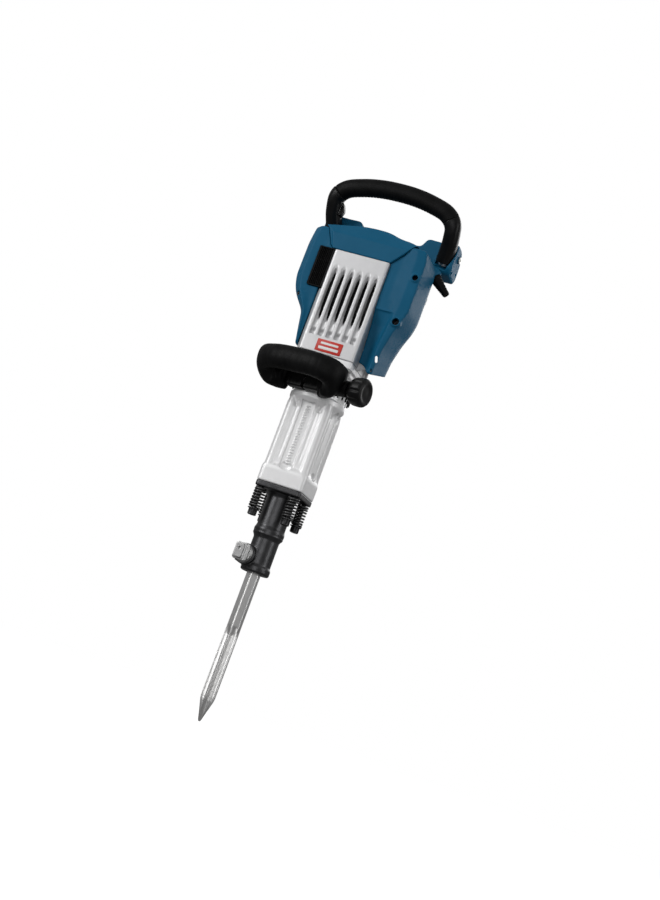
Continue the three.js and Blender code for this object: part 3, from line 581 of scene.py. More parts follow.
def make_chisel():
    levels = [0, 0.5, 1.5, *np.arange(3, 60, 1.5), *np.arange(60, 150, 6), *np.arange(150, 174, 1.5),
              *np.arange(174, MOUTH_Z, 8), MOUTH_Z + 1.9, MOUTH_Z + 2.1, *np.arange(272, 378, 9), 378.5, 380]
    rings = []
    for z in levels:
        end = np.interp(z, [0, 1.5, 3, 377, 380], [0.8, 0.97, 1, 1, 0.93])
        rings.append(polar(144, z, lambda angle: chisel_radius(angle, z) * end))
    notch = box((-20, -20, 272), (LOCK_X + LOCK_R + 0.4, 20, LOCK_Z + LOCK_R + 0.4))
    bar = cut(loft(rings), notch)
    piece("chisel_bar", bar, "chisel", replaces=["chisel"], angle=22)


# ---- tool holder, locking pin, springs ----
def make_tool_holder():
    tube = lathe([
        (0, MOUTH_Z), (21, MOUTH_Z), *arc(22.6, MOUTH_Z + 3.2, 3.2, -90, 0), (25.8, MOUTH_Z + 11),
        (23.4, MOUTH_Z + 15), (23.2, 327), (24.4, 330), *arc(26.2, 334.5, 1.2, -60, 60), (27.4, 341.5),
        (27.2, 343.5), (25.3, 349), (25.2, 394), *arc(33.4, 400, 8.2, 180, 128, 8), (31.5, FLANGE_LOW_Z + 1),
        (31.5, FLANGE_TOP_Z), (0, FLANGE_TOP_Z)], 128)
    outline = rounded([(-42.5, -41), (42.5, -41), (42.5, 41), (-42.5, 41)], 7)
    flange = prism("z", outline, FLANGE_LOW_Z, FLANGE_TOP_Z)
    bosses = [rod("z", x, y, 10.4, FLANGE_LOW_Z - 0.1, FLANGE_TOP_Z - 1) for x, y in SCREWS_AT]
    boss = rod("y", LOCK_X, LOCK_Z, 18.5, -31, 25.5, 64)
    lip = rod("y", LOCK_X, LOCK_Z, 14, -30, 20, 48)
    hull = prism("z", rounded([(-34, -28), (-6, -29), (-6, 24), (-34, 22)], 6), LOCK_Z - 15, LOCK_Z + 15)
    body = joined(tube, flange, boss, lip, hull, *bosses)
    cutters = [rod("z", x, y, 4.6, 400, 430, 32) for x, y in SCREWS_AT]
    cutters.append(prism("z", circle(0, 0, 16.95, 6, math.pi / 6), MOUTH_Z - 1, 394))
    cutters.append(rod("z", 0, 0, 15.6, 393, FLANGE_TOP_Z + 1, 48))
    cutters.append(rod("y", LOCK_X, LOCK_Z, LOCK_R + 0.4, -40, 21, 40))
    skin = melted(body, 0.9, 2)
    piece("holder_casting", melted(cut(skin, *cutters), 0.75, 3, 0.6), "holder", replaces=["tool_holder"])


def make_lock_pin():
    notch = box((LOCK_X - 12, -18.5, LOCK_Z - 12), (LOCK_X - 2.4, 18.5, LOCK_Z + 12))
    pin = cut(rod("y", LOCK_X, LOCK_Z, LOCK_R, -32, 20, 48), notch)
    head = rod("y", LOCK_X, LOCK_Z, 17, -39.5, -31.4, 72)
    rim = rod("y", LOCK_X, LOCK_Z, 15.4, -41.5, -39, 72)
    wide = prism("y", rounded_box(13.2, 15.2, 5, centre=(LOCK_X - 1.5, LOCK_Z + 0.5)), -46.5, -40.5)
    narrow = prism("y", rounded_box(7.6, 12.4, 3.6, centre=(LOCK_X - 5.2, LOCK_Z + 0.5)), -50.6, -46)
    dimple = rod("y", LOCK_X - 5.2, LOCK_Z + 4.5, 2.1, -53, -48.4, 24)
    groove = box((LOCK_X + 4.6, -50, LOCK_Z - 13), (LOCK_X + 6.2, -45, LOCK_Z + 14))
    body = melted(joined(pin, head, rim, wide, narrow), 0.5, 2)
    piece("lock_pin_head", melted(cut(body, dimple, groove), 0.45, 3, 0.5), "lock", replaces=["lock_pin"],
          look="forged_steel")


def make_flange_springs():
    for i, (x, y) in enumerate(SCREWS_AT, 1):
        coil = helix(x, y, SPRING_LOW_Z, FLANGE_LOW_Z - 0.3, 8.9, 1.8, 7.5)
        coil = piece(f"flange_coil_{i}", coil, "machine", replaces=[f"flange_spring_{i}"], angle=80)
        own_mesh(coil)
        head = moved(socket_head(HEAD_LOW_Z, SPRING_LOW_Z - 1.9, 7.8, 4.2), x, y, 0)
        washer = bevelled(rod("z", x, y, 10.4, SPRING_LOW_Z - 1.9, SPRING_LOW_Z - 0.3, 64), 0.35)
        shaft = lathe([(0, SPRING_LOW_Z - 1), (4, SPRING_LOW_Z - 1), (4, 436), (3.2, 438), (0, 438)], 32)
        screw = fused(head, washer, moved(shaft, x, y, 0))
        piece(f"spring_bolt_{i}", screw, "machine", replaces=[f"flange_screw_{i}"])


# ---- barrel ----
def make_barrel():
    def ring(z, half_u, half_v, radius):
        return [(u, v, z) for u, v in rounded_box(half_u, half_v, radius, 8)]

    core = loft([ring(FLANGE_TOP_Z + 0.3, 43, 41.5, 9), ring(444, 43.4, 41.9, 9.5), ring(449, 42.8, 41.3, 10),
                 ring(456, 40.0, 38.5, 10.5), ring(560, 40.0, 38.5, 10.5)])
    neck = lathe([(0, 540), (38, 540), (43, 568), (49.6, 579), (50.6, 581), (50.6, 588.6), (49.6, RIM_Z),
                  (COLLAR_R, RIM_Z), (COLLAR_R, JOINT_LOW_Z + 1), (0, JOINT_LOW_Z + 1)], 128)
    rib = [(0, 430), (10.2, 430), (10.4, 452), (9.9, 460), (9.9, 566), (8, 580), (0, 580)]
    ribs = [moved(lathe(rib, 48), sx * 31.7, sy * 30.2, 0) for sx, sy in CORNERS]
    flange = prism("z", rounded([(-SIDE, FRONT_Y), (SIDE, FRONT_Y), (SIDE, BACK_Y), (-SIDE, BACK_Y)], 6),
                   JOINT_LOW_Z, JOINT_Z - 0.3)
    gusset = prism("z", rounded_box(49, 45, 16, centre=(0, -1)), JOINT_LOW_Z - 9, JOINT_LOW_Z + 1)
    skin = melted(joined(core, neck, flange, gusset, *ribs), 1.1, 3)
    cutters = []
    for turn in range(4):
        angle = turn * math.pi / 2
        face = 38.6 if turn % 2 else 37.2
        well = prism("z", rounded([(-12.6, -face - 8), (12.6, -face - 8), (12.6, -face), (-12.6, -face)], 2.2),
                     452, 576)
        end = ball((0, -face - 1.5, 455), (12.4, 3.6, 9))
        cutters.append(turned_by(well, angle))
        cutters.append(turned_by(end, angle))
        for side in (-1, 1):
            hollow = ball((side * 19.2, -face - 2.6, 515), (3.6, 2.2, 66))
            cutters.append(turned_by(hollow, angle))
    for screw, bolt in zip(SCREWS_AT, BOLTS_AT):
        cutters.append(rod("z", *screw, 4.4, 415, 440, 32))
        cutters.append(rod("z", *bolt, 3.6, 630, 665, 32))
        cutters.append(rod("z", *bolt, 9.2, 620, JOINT_LOW_Z - 0.1, 40))
    cutters.append(rod("z", 0, 0, CYLINDER_R + 0.3, 441, 665, 64))
    cutters.append(rod("z", 0, 0, 15.6, 415, 445, 48))
    studs = [ball((0, -37.3, 460.5 + k * 5.0), (4.6, 1.1, 1.15)) for k in range(22)]
    body = joined(cut(skin, *cutters), *studs)
    # The barrel takes the lighter copy of the casting finish, whose extra brightness is painted light.
    piece("barrel_casting", melted(body, 0.85, 3, 0.5), "machine", look="casting_with_painted_light", replaces=["barrel"])


def make_housing_bolts():
    for i, (x, y) in enumerate(BOLTS_AT, 1):
        head = bevelled(prism("z", circle(x, y, 6.6, 6), 636.5, JOINT_LOW_Z - 1.6), 0.5)
        head = cut(head, moved(lathe([(0, 635), (3.4, 635), (2.6, 637.6), (0, 637.6)], 32), x, y, 0))
        washer = bevelled(rod("z", x, y, 8, JOINT_LOW_Z - 1.7, JOINT_LOW_Z - 0.3, 48), 0.3)
        shaft = rod("z", x, y, 3.2, JOINT_LOW_Z - 1, 670, 32)
        piece(f"flange_bolt_{i}", fused(head, washer, shaft), "machine", look="zinc", slot="bright_steel",
              replaces=[f"housing_bolt_{i}"])


# ---- gear housing with its scooped front ----
FLUTE_LOW = 690
FLUTE_HIGH = 822
FLUTE_PITCH = 15.35
FLUTE_HALF = 4.7
FLUTES_AT = [0.6 + (k - 2.5) * FLUTE_PITCH for k in range(6)]


def flute_cutter(x):
    """A scoop: a sunk foot, steep sides, deepest above the middle and running out at the top."""
    rings = []
    for s in range(67):
        t = s / 66
        z = FLUTE_LOW + (FLUTE_HIGH - FLUTE_LOW) * t
        depth = float(np.interp(t, [0, 0.02, 0.06, 0.10, 0.35, 0.62, 0.78, 0.93, 1.0],
                                [6.0, 7.4, 7.0, 3.4, 7.6, 8.8, 5.4, 2.0, 0.05]))
        half = FLUTE_HALF * (1 if t < 0.9 else math.sqrt(max(0.04, 1 - ((t - 0.9) / 0.1) ** 2)))
        ring = [(x - half, FRONT_Y - 3, z), (x + half, FRONT_Y - 3, z)]
        for k in range(17):
            angle = math.pi * k / 16
            flat = abs(math.cos(angle)) ** 0.55 * math.copysign(1, math.cos(angle))
            ring.append((x + half * flat, FRONT_Y + depth * math.sin(angle) ** 0.7 - 0.01, z))
        rings.append(ring)
    return loft(rings)


def make_gear_housing():
    outline = rounded([(-58, -39.5), (-PANEL_HALF, FRONT_Y), (PANEL_HALF, FRONT_Y), (SIDE, FRONT_Y + 2),
                       (SIDE, BACK_Y), (-58, BACK_Y)], [1.2, 3.5, 3.0, 2.0, 3, 3])
    shell = prism("z", outline, JOINT_Z, PANEL_TOP_Z)
    wing = prism("y", rounded([(51, 655), (80, 662), (80, 680), (51, 680)], 3), -16, 40)
    wing = cut(wing, prism("x", [(-60, 632), (-44, 653), (60, 681), (60, 632)], 58, 90))
    floor = [box((-SIDE + 5, -41, 667), (SIDE - 5, BACK_Y - 5, 900)), box((-70, -41, 843), (60, 60, 900)),
             box((-70, -60, 772), (-51.2, -40, 900)), rod("z", 0, 0, CYLINDER_R + 0.3, 640, 680, 64),
             rod("x", 0, CRANK_Z, 14.3, 40, 60, 48), box((53, -13, 640), (74, 34, 676))]
    body = cut(fused(shell, wing), *floor)
    flutes = [flute_cutter(x) for x in FLUTES_AT]
    slots = [ball((x, FRONT_Y + 3, 766), (4.2, -38.5 - FRONT_Y, 50)) for x in FLUTES_AT]
    bolt_holes = [rod("z", x, y, 3.5, 640, 671, 32) for x, y in BOLTS_AT]
    body = cut(body, *flutes, *slots, *bolt_holes)
    piece("front_casting", melted(body, 0.8, 3, 0.5), "machine", replaces=["gear_housing"])


def make_shade_duct():
    """A black plate behind the cut-through slots, drawn as a duct: painted shade that makes the middles of the
    flutes read dark.
    """
    duct = cut(box((-46.4, -40.8, 728), (46.4, -31, 806)), box((-44, -42, 731), (44, -33, 803)))
    # painted shade: this black plate stands for the shade inside the flutes
    piece("shade_duct", bevelled(duct, 0.5), "machine", slot="black_plastic")


def make_gear_cover():
    def outline(low_r, high_r):
        low = [(low_r * math.cos(a), CRANK_Z + low_r * math.sin(a)) for a in np.linspace(math.pi, 2 * math.pi,
                                                                                         33)]
        high = [(high_r * math.cos(a), 846 + high_r * math.sin(a)) for a in np.linspace(0, math.pi, 33)]
        return low + high

    lid = bevelled(prism("x", outline(39, 32), SIDE + 0.4, 84), 2.2, 4)
    hollow = prism("x", outline(36.4, 29.4), SIDE - 2, 81)
    piece("gear_case_lid", cut(lid, hollow), "machine", replaces=["gear_cover"])


def make_label():
    low, high = Vector((-22.4, -51.1, 663.2)), Vector((25.6, -50.3, 685))
    middle = (low + high) / 2
    plate = prism("y",
                  rounded_box((high.x - low.x) / 2, (high.z - low.z) / 2, 1.4, centre=(middle.x, middle.z)),
                  low.y + 0.15, high.y)
    piece("red_label", bevelled(plate, 0.25), "machine", replaces=["front_label"])
    for name, z_low, z_high, side in (("upper", 676.6, 680.4, 16.5), ("lower", 667.6, 672.6, 18.5)):
        bar = prism("y", rounded_box(side, (z_high - z_low) / 2, 0.8, centre=(middle.x, (z_low + z_high) / 2)),
                    low.y, low.y + 0.3)
        piece(f"label_bar_{name}", bevelled(bar, 0.06), "machine", slot="red_plate", look="white_print")


# ---- side covers ----
# A level is (z, ridge x, shoulder x, side x, front y beside the ribbed panel).
RIGHT_LEVELS = [
    (649, 82, 87, 88.5, -40), (668, 83, 88.5, 91, -40), (700, 84.5, 91.5, 94, -39), (734, 85, 99, 102.5, -39),
    (758, 91, 107.5, 111.5, -42), (776, 95, 112.5, 115, -43.4), (868, 96, 112.5, 115, -43.4),
    (884, 93, 108.5, 111, -43.2), (890, 91, 106, 108, -43),
]
LEFT_LEVELS = [
    (667, 62, 67, 68, -43), (703, 66, 74, 75, -43), (730, 70, 78.5, 80, -43), (757, 87, 99.5, 102, -43),
    (774, 94, 107, 110, -45), (792, 97, 111, 113, -45), (853, 97, 110.5, 113, -45), (882, 93, 107, 110, -45),
    (888, 91, 105, 107, -44),
]
COVER_FRONT_Y = -46
COVER_BACK_Y = 52
WALL = 3.6


def cover_ring(levels, z, inner_x, inset, shoulder_y):
    ridge, shoulder, side, root_y = eased(levels, z)
    corners = [
        (inner_x, root_y + inset), (inner_x + (ridge - inner_x) * 0.4, root_y + 0.6 + inset),
        (ridge - inset * 0.4, COVER_FRONT_Y + inset), (shoulder - inset * 0.8, shoulder_y + inset * 0.6),
        (side - inset, 34 - inset * 0.3), (max(side - 12 - inset, inner_x + 3), COVER_BACK_Y - inset),
        (inner_x, COVER_BACK_Y - inset),
    ]
    return [(x, y, z) for x, y in rounded(corners, [1, 4, 1.6, 2.5, 16, 9, 1], 6)]


def cover_skin(levels, inner_x, inset, shoulder_y, end_round=5.0):
    low, high = levels[0][0] + inset, levels[-1][0] - inset
    rings = []
    for z in np.linspace(low, high, 90):
        near = min(z - low, high - z)
        pull = end_round - math.sqrt(max(0.0, end_round**2 - max(0.0, end_round - near) ** 2))
        rings.append(cover_ring(levels, float(z), inner_x, inset + pull * (0 if inset else 1), shoulder_y))
    return loft(rings)


def panel_lines(work, depth, *segments):
    """Narrow grooves along the surface, each between two points."""
    return cut(work, *[along(rod("z", 0, 0, depth, 0, math.dist(a, b), 16), a, b) for a, b in segments])


RELIEF_AT = (106, 44, 877)
RELIEF_TO = (143, 47, 846)


def screw_well(x, z, radius, depth):
    """A boss standing out of the cover, and the blind hole that sinks into it."""
    boss = rod("y", x, z, radius + 2.6, -47.2, -34, 48)
    hole = rod("y", x, z, radius, -60, -46 + depth, 48)
    return boss, hole


def cover_screw(name, at, height, radius, socket_r, facing=-1):
    """A screw's head in its well, facing the front (-1) or the back (1)."""
    screw = socket_head(0, height, radius, socket_r)
    screw.data.transform(Matrix.Translation(at) @ Matrix.Rotation(math.radians(90 * facing), 4, "X"))
    piece(name, screw, "machine", slot="spring_steel", look="spring_steel")


def cove_cutter(extra):
    """The hollow between the ribbed panel and the ridge strip, with a flat ledge on top."""
    rings = []
    for z in np.linspace(636, 765.5 + extra, 60):
        right = float(np.interp(z, [640, 665, 700, 745, 765.5], [80, 82, 82.5, 87, 91])) + extra * 0.7
        deep = float(np.interp(z, [640, 675, 700, 740, 765.5], [-21, -22, -23, -30, -39.4])) + extra * 0.8
        outline = [(40, -70), (right + 2, -70), (right + 1, -46), (right - 4, min(deep - 5, -36)),
                   (right - 14, deep), (60, deep - 0.5), (40, deep - 1)]
        rings.append([(x, y, float(z)) for x, y in rounded(outline, [1, 1, 4, 9, 9, 4, 1], 5)])
    return loft(rings)


def scoop_cutter(extra):
    """A shallow hollow above the ledge, which deepens downwards and stops at the ledge."""
    rings = []
    for z in np.linspace(767.6 - extra, 812, 24):
        deep = float(np.interp(z, [767.6, 780, 800, 812], [-41.6, -42.4, -44.8, -47.5])) + extra
        right = float(np.interp(z, [767.6, 790, 812], [90, 86, 80])) + extra * 0.5
        outline = [(40, -70), (right, -70), (right, -46.4), (right - 9, deep), (40, deep)]
        rings.append([(x, y, float(z)) for x, y in rounded(outline, [1, 1, 5, 9, 1], 5)])
    return loft(rings)


def make_right_cover():
    shell = cover_skin(RIGHT_LEVELS, SIDE + 0.6, 0, -42.5)
    relief_boss = along(lathe([(0, -10), (14, -10), (14, 4), (12.4, 6.5), (0, 6.5)], 48), RELIEF_AT, RELIEF_TO)
    upper_boss, upper_hole = screw_well(104, 836, 5.2, 14)
    lower_boss, lower_hole = screw_well(98, 751, 6.3, 12)
    skin = melted(joined(shell, relief_boss, upper_boss, lower_boss), 1.1, 2)
    hollow = cut(cover_skin(RIGHT_LEVELS, SIDE - 8, WALL, -41), cove_cutter(3.6), scoop_cutter(3.2))
    slant = prism("x", [(-60, 630), (-44, 649), (60, 677), (60, 630)], 40, 130)
    corner = prism("y",
                   [(45, 630), (45, 671), (58, 668.5), (65, 665), (71, 658), (77, 653), (84, 647.5), (84, 630)],
                   -60, 60)
    clear = [box((40, -17.4, 630), (82.2, 41, 682)), box((80, 20, 889.6), (130, 75, 910)),
             box((80, 52.3, 868), (130, 75, 910))]
    relief_hole = along(rod("z", 0, 0, 10.0, -40, 30, 48), RELIEF_AT, RELIEF_TO)
    view_line = Vector((-0.325, 1, 0.25))
    eyes = []
    for at, half_width, half_height, reach in (((88.6, -45, 677.5), 2.2, 6.2, 150),
                                               ((86.4, -45, 655.5), 1.2, 3.6, 70)):
        start = Vector(at) - view_line * 20
        slot = prism("z", rounded_box(half_width, half_height, half_width), 0, reach)
        eyes.append(along(slot, start, start + view_line))
    body = cut(skin, hollow, cove_cutter(0), scoop_cutter(0), slant, corner, *clear, relief_hole, upper_hole,
               lower_hole, *eyes)
    room = hood_face_room([(52.1, 849.8), (55.5, 853.5), (71.1, 871.5), (83.9, 891.1)])
    body = panel_lines(cut(melted(body, 1.0, 2), room), 0.9, ((80, -47, 884), (97, -47, 879)),
                       ((97, -47, 879), (112, -43.6, 873)), ((112, -43.6, 873), (118, 60, 866)))
    piece("right_shell", melted(body, 0.9, 1, 0.5), "machine", replaces=["right_cover"])
    cover_screw("cover_screw_upper", (104, -33, 836), 3.4, 4.6, 2.07)
    cover_screw("cover_screw_lower", (98, -35, 751), 3.4, 5.6, 2.52)


def make_left_cover():
    shell = melted(cover_skin(LEFT_LEVELS, 58.6, 0, -30), 1.1, 2)
    hollow = cover_skin(LEFT_LEVELS, 50.6, WALL, -28)
    window = prism("y", rounded([(40, 774.2), (81.2, 774.2), (81.2, 850), (40, 850)], [0.5, 5, 1.5, 0.5]),
                   -60, -40)
    screw = rod("y", 92, 757, 3.4, -60, -25, 40)
    nicks = [prism("y", rounded_box(0.9, 4.4, 0.9, centre=(99.5 + k * 3.6, 795)), -60, -38 + k * 3.5)
             for k in range(3)]
    dips = [ball((80, -47.4, 762), (11, 3.4, 3.2)), ball((80, -47.2, 752), (9, 2.6, 2.6))]
    body = cut(shell, hollow, window, screw, *nicks, *dips)
    room = hood_face_room([(58.1, 849.8), (64.5, 855.5), (79.7, 887), (86.5, 891.1)])
    body = panel_lines(cut(melted(body, 1.0, 2), room), 0.9, ((84, -47, 853), (99, -46, 853)),
                       ((99, -46, 853), (113.5, -29, 853)), ((113.5, -29, 853), (115, 60, 853)))
    piece("left_shell", mirrored(melted(body, 0.9, 1, 0.5)), "machine", replaces=["left_cover"])
    cover_screw("cover_screw_left", (-92, -36, 757), 3.0, 3.2, 1.5)


def make_air_grille():
    plate = prism("y",
                  rounded([(-80.9, 774.5), (-51.6, 774.5), (-51.6, 849.7), (-80.9, 849.7)],
                          [4.5, 0.5, 0.5, 1.2]),
                  -45, -42)
    frame_bars = [box((-80.6, -48.3, 776.2), (-78.9, -44.5, 849.3)),
                  box((-53.4, -48.3, 775), (-51.8, -44.5, 849.3)),
                  box((-80.2, -48.3, 847.6), (-52, -44.5, 849.3)),
                  box((-78.4, -48.3, 774.8), (-52, -44.5, 776.6))]
    rib = rounded([(-0.75, -44.9), (0.75, -44.9), (0.5, -48.0), (-0.5, -48.0)], 0.4)
    ribs = [moved(prism("z", rib, 776, 848), -77.4 + k * 3.25, 0, 0) for k in range(8)]
    cross = [box((-79, -46.6, z - 0.6), (-53, -44.8, z + 0.6)) for z in (800, 824)]
    body = melted(joined(plate, *frame_bars, *ribs, *cross), 0.45, 2, 0.6)
    piece("grille", body, "machine", look="deep_black", slot="black_plastic", replaces=["air_grille"])


# ---- hood, back cover ----
HOOD_OUTLINE = [
    (-56.8, 850.3), (-57.3, 887), (-87.5, 891.5), (-57, 899.5), (-19, 908.5), (8, 909.5), (29, 908.6),
    (52, 900.6), (74, 898.8), (90.5, 893.6), (51.6, 892.5), (51.6, 850.3),
]
# In front the hood spreads over both covers, with slanting seams.
HOOD_FACE = [
    (-57.6, 850.3), (-64, 856), (-79.2, 887.5), (-86.5, 891.6), (-57, 899.5), (-19, 908.5), (8, 909.5),
    (29, 908.6),
    (52, 900.6), (74, 898.8), (88.5, 894), (83.4, 891.6), (70.6, 872), (55, 854), (51.6, 850.3),
]


def hood_face_room(corners):
    """What a cover leaves free for the face of the hood."""
    return prism("y", [(30, 849.8), *corners, (93, 895), (93, 930), (30, 930)], -66, -40.4)


def make_top_hood():
    outline = rounded(HOOD_OUTLINE, [1, 1, 1.5, 16, 16, 14, 12, 12, 12, 1.5, 1, 1], 6)
    shell = prism("y", outline, -48, 56)
    slope = prism("x", rounded([(-70, 876), (-49.5, 876), (-46.5, 884), (-29, 912), (-29, 940), (-70, 940)],
                               [1, 3, 9, 3, 1, 1]), -100, 100)
    back = prism("x",
                 rounded([(70, 880), (57, 880), (53, 890), (38, 912), (38, 940), (70, 940)],
                         [1, 3, 9, 3, 1, 1]),
                 -100, 100)
    hollow = prism("y", [(-53, 840), (-53, 893.5), (-19, 904), (29, 905), (47.8, 897), (47.8, 840)], -25, 52)
    nose = prism("x", [(-43.5, 840), (-43.5, 882), (-25, 890), (-24, 840)], -53, 47.8)
    under = box((-62, -40, 840), (62, 40, 884))
    facet = loft([[(-74.6, -60, 896), (-74.6, -46.8, 896), (-90, -41, 896), (-90, -60, 896)],
                  [(-55.2, -60, 845), (-55.2, -46.8, 845), (-70.6, -41, 845), (-70.6, -60, 845)]])
    face = prism("y", rounded(HOOD_FACE, [1, 1, 1, 1.5, 16, 16, 14, 12, 12, 12, 1.5, 1, 1, 1, 1], 6), -48, -41)
    body = cut(melted(joined(shell, face), 1.0, 2), slope, back, hollow, nose, under, facet)
    piece("motor_hood", melted(body, 0.9, 4, 0.5), "machine", replaces=["top_hood"])


def make_rear_cover():
    plate = bevelled(prism("y", rounded([(-57, 662), (51, 662), (51, 849.8), (-57, 849.8)], 6), 47, 55), 2.2, 4)
    raised = bevelled(prism("y", rounded([(-48, 674), (42, 674), (42, 750), (-48, 750)], 8), 54.2, 56), 0.9, 3)
    inside = prism("y", rounded([(-53, 668), (47, 668), (47, 844), (-53, 844)], 4), 40, 51.5)
    vents = [prism("y", rounded_box(38, 1.9, 1.8, centre=(0, 765.9 + k * 9)), 40, 60) for k in range(7)]
    wells_at = [(x, z) for x in (-49, 43) for z in (756, 840)]
    wells = [rod("y", x, z, 4.2, 50, 60, 32) for x, z in wells_at]
    body = cut(fused(plate, raised), inside, *vents, *wells)
    piece("back_shell", melted(body, 0.8, 2, 0.5), "machine", replaces=["rear_cover"])
    for k, (x, z) in enumerate(wells_at, 1):
        cover_screw(f"back_screw_{k}", (x, 53, z), 2.6, 3.9, 1.9, facing=1)


def make_strain_relief():
    """A tapered rubber sleeve with cross slots."""
    rings = []
    for z in np.linspace(0, 45.4, 145):
        z = float(z)
        r = float(np.interp(z, [0, 1.5, 7, 7.5, 11, 12, 43.5, 45.4],
                            [8.6, 9.4, 9.4, 10.6, 10.6, 9.8, 6.3, 5.6]))
        slot = 0.0
        if 13 < z < 41:
            slot = max(0.0, math.sin(2 * math.pi * (z - 13) / 5.6)) ** 2
        rings.append(polar(64, z, lambda a: r - 1.3 * slot * max(0.0, abs(math.cos(a)) - 0.35) / 0.65))
    sleeve = cut(loft(rings), rod("z", 0, 0, 3.4, -5, 60, 40))
    piece("cord_sleeve", along(sleeve, RELIEF_AT, RELIEF_TO), "machine", replaces=["strain_relief"], angle=50)


# ---- main handle ----
HANDLE_POINTS = [
    (108, 70, 905), (111.5, 57, 926), (115, 41, 948), (113, 28, 971), (99, 23, 986), (67, 21, 996.5),
    (33, 20, 1002),
]
HANDLE_PATH = [(-x, y, z) for x, y, z in HANDLE_POINTS] + [(0, 20, 1003.5)] + HANDLE_POINTS[::-1]
GRIP_START = 0.245
LEG_TOP = 0.2435
LEG_LOW = 0.028
ROCKER = (-100.5, 41, 952)
BRACKET_BOLT = (84, 929)
DAMPER_LOW_Z = 846.3
DAMPER_TOP_Z = 889.7


def make_main_grip():
    def section(t):
        near_end = min(t - GRIP_START, 1 - GRIP_START - t) / 0.012
        lip = 1.0 if near_end > 1 else 0.93 + 0.07 * math.sqrt(max(0.0, 1 - (1 - near_end) ** 2))
        swell = 1 + 0.012 * math.cos(2 * math.pi * (t - 0.5) / 0.5)
        ring = []
        for u, v in oval(16.3 * lip * swell, 15.8 * lip * swell, 96, 2.25):
            angle = math.atan2(v, u)
            rib = 0.0
            if 0.30 < t < 0.70 and abs(math.sin(angle)) < 0.8 and u < 0:
                rib = 0.35 * max(0.0, math.sin((t - 0.3) * 480)) * min(1, (0.8 - abs(math.sin(angle))) * 5)
            scale = 1 - rib / 16
            ring.append((u * scale, v * scale))
        return ring

    grip = sweep(HANDLE_PATH, section, 520, GRIP_START, 1 - GRIP_START)
    bore = sweep(HANDLE_PATH, lambda t: circle(0, 0, 9.7, 40), 60, GRIP_START - 0.02, 1.02 - GRIP_START)
    piece("main_grip_sleeve", cut(grip, bore), "main_handle", replaces=["main_grip"], angle=50)


def make_leg_covers():
    def section(t):
        to_bar = clamped((LEG_TOP - min(t, 1 - t)) / 0.06)
        return oval(16.2 - 1.9 * to_bar, 15.7 + 1.1 * to_bar, 72, 2.4)

    for name, side in (("left", -1), ("right", 1)):
        start, end = (LEG_LOW, LEG_TOP) if side < 0 else (1 - LEG_TOP, 1 - LEG_LOW)
        cover = sweep(HANDLE_PATH, section, 90, start, end)
        bore = sweep(HANDLE_PATH, lambda t: circle(0, 0, 9.7, 40), 40, start - 0.02, end + 0.02)
        cutters = [bore]
        if side < 0:
            x, y, z = ROCKER
            cutters.append(box((x - 3.2, y - 7.5, z - 13.5), (x + 9, y + 7.5, z + 13.5)))
        body = cut(cover, *cutters)
        piece(f"leg_{name}", melted(body, 0.8, 2, 0.6), "main_handle", replaces=[f"leg_cover_{name}"])


def make_switch():
    x, y, z = ROCKER
    outline = rounded([(x - 0.8, z - 12), (x + 2.6, z - 12), (x + 5.8, z - 2), (x + 4.8, z + 2),
                       (x + 0.8, z + 12),
                       (x - 0.8, z + 12)], [0.3, 1, 2, 2, 1, 0.3])
    rocker = prism("y", outline, y - 6.8, y + 6.8)
    grooves = [rod("y", x + 5.1 - k * 0.15, z - 5 - k * 1.7, 0.45, y - 8, y + 8, 12) for k in range(3)]
    piece("rocker_key", bevelled(cut(rocker, *grooves), 0.25), "switch", replaces=["switch_rocker"])


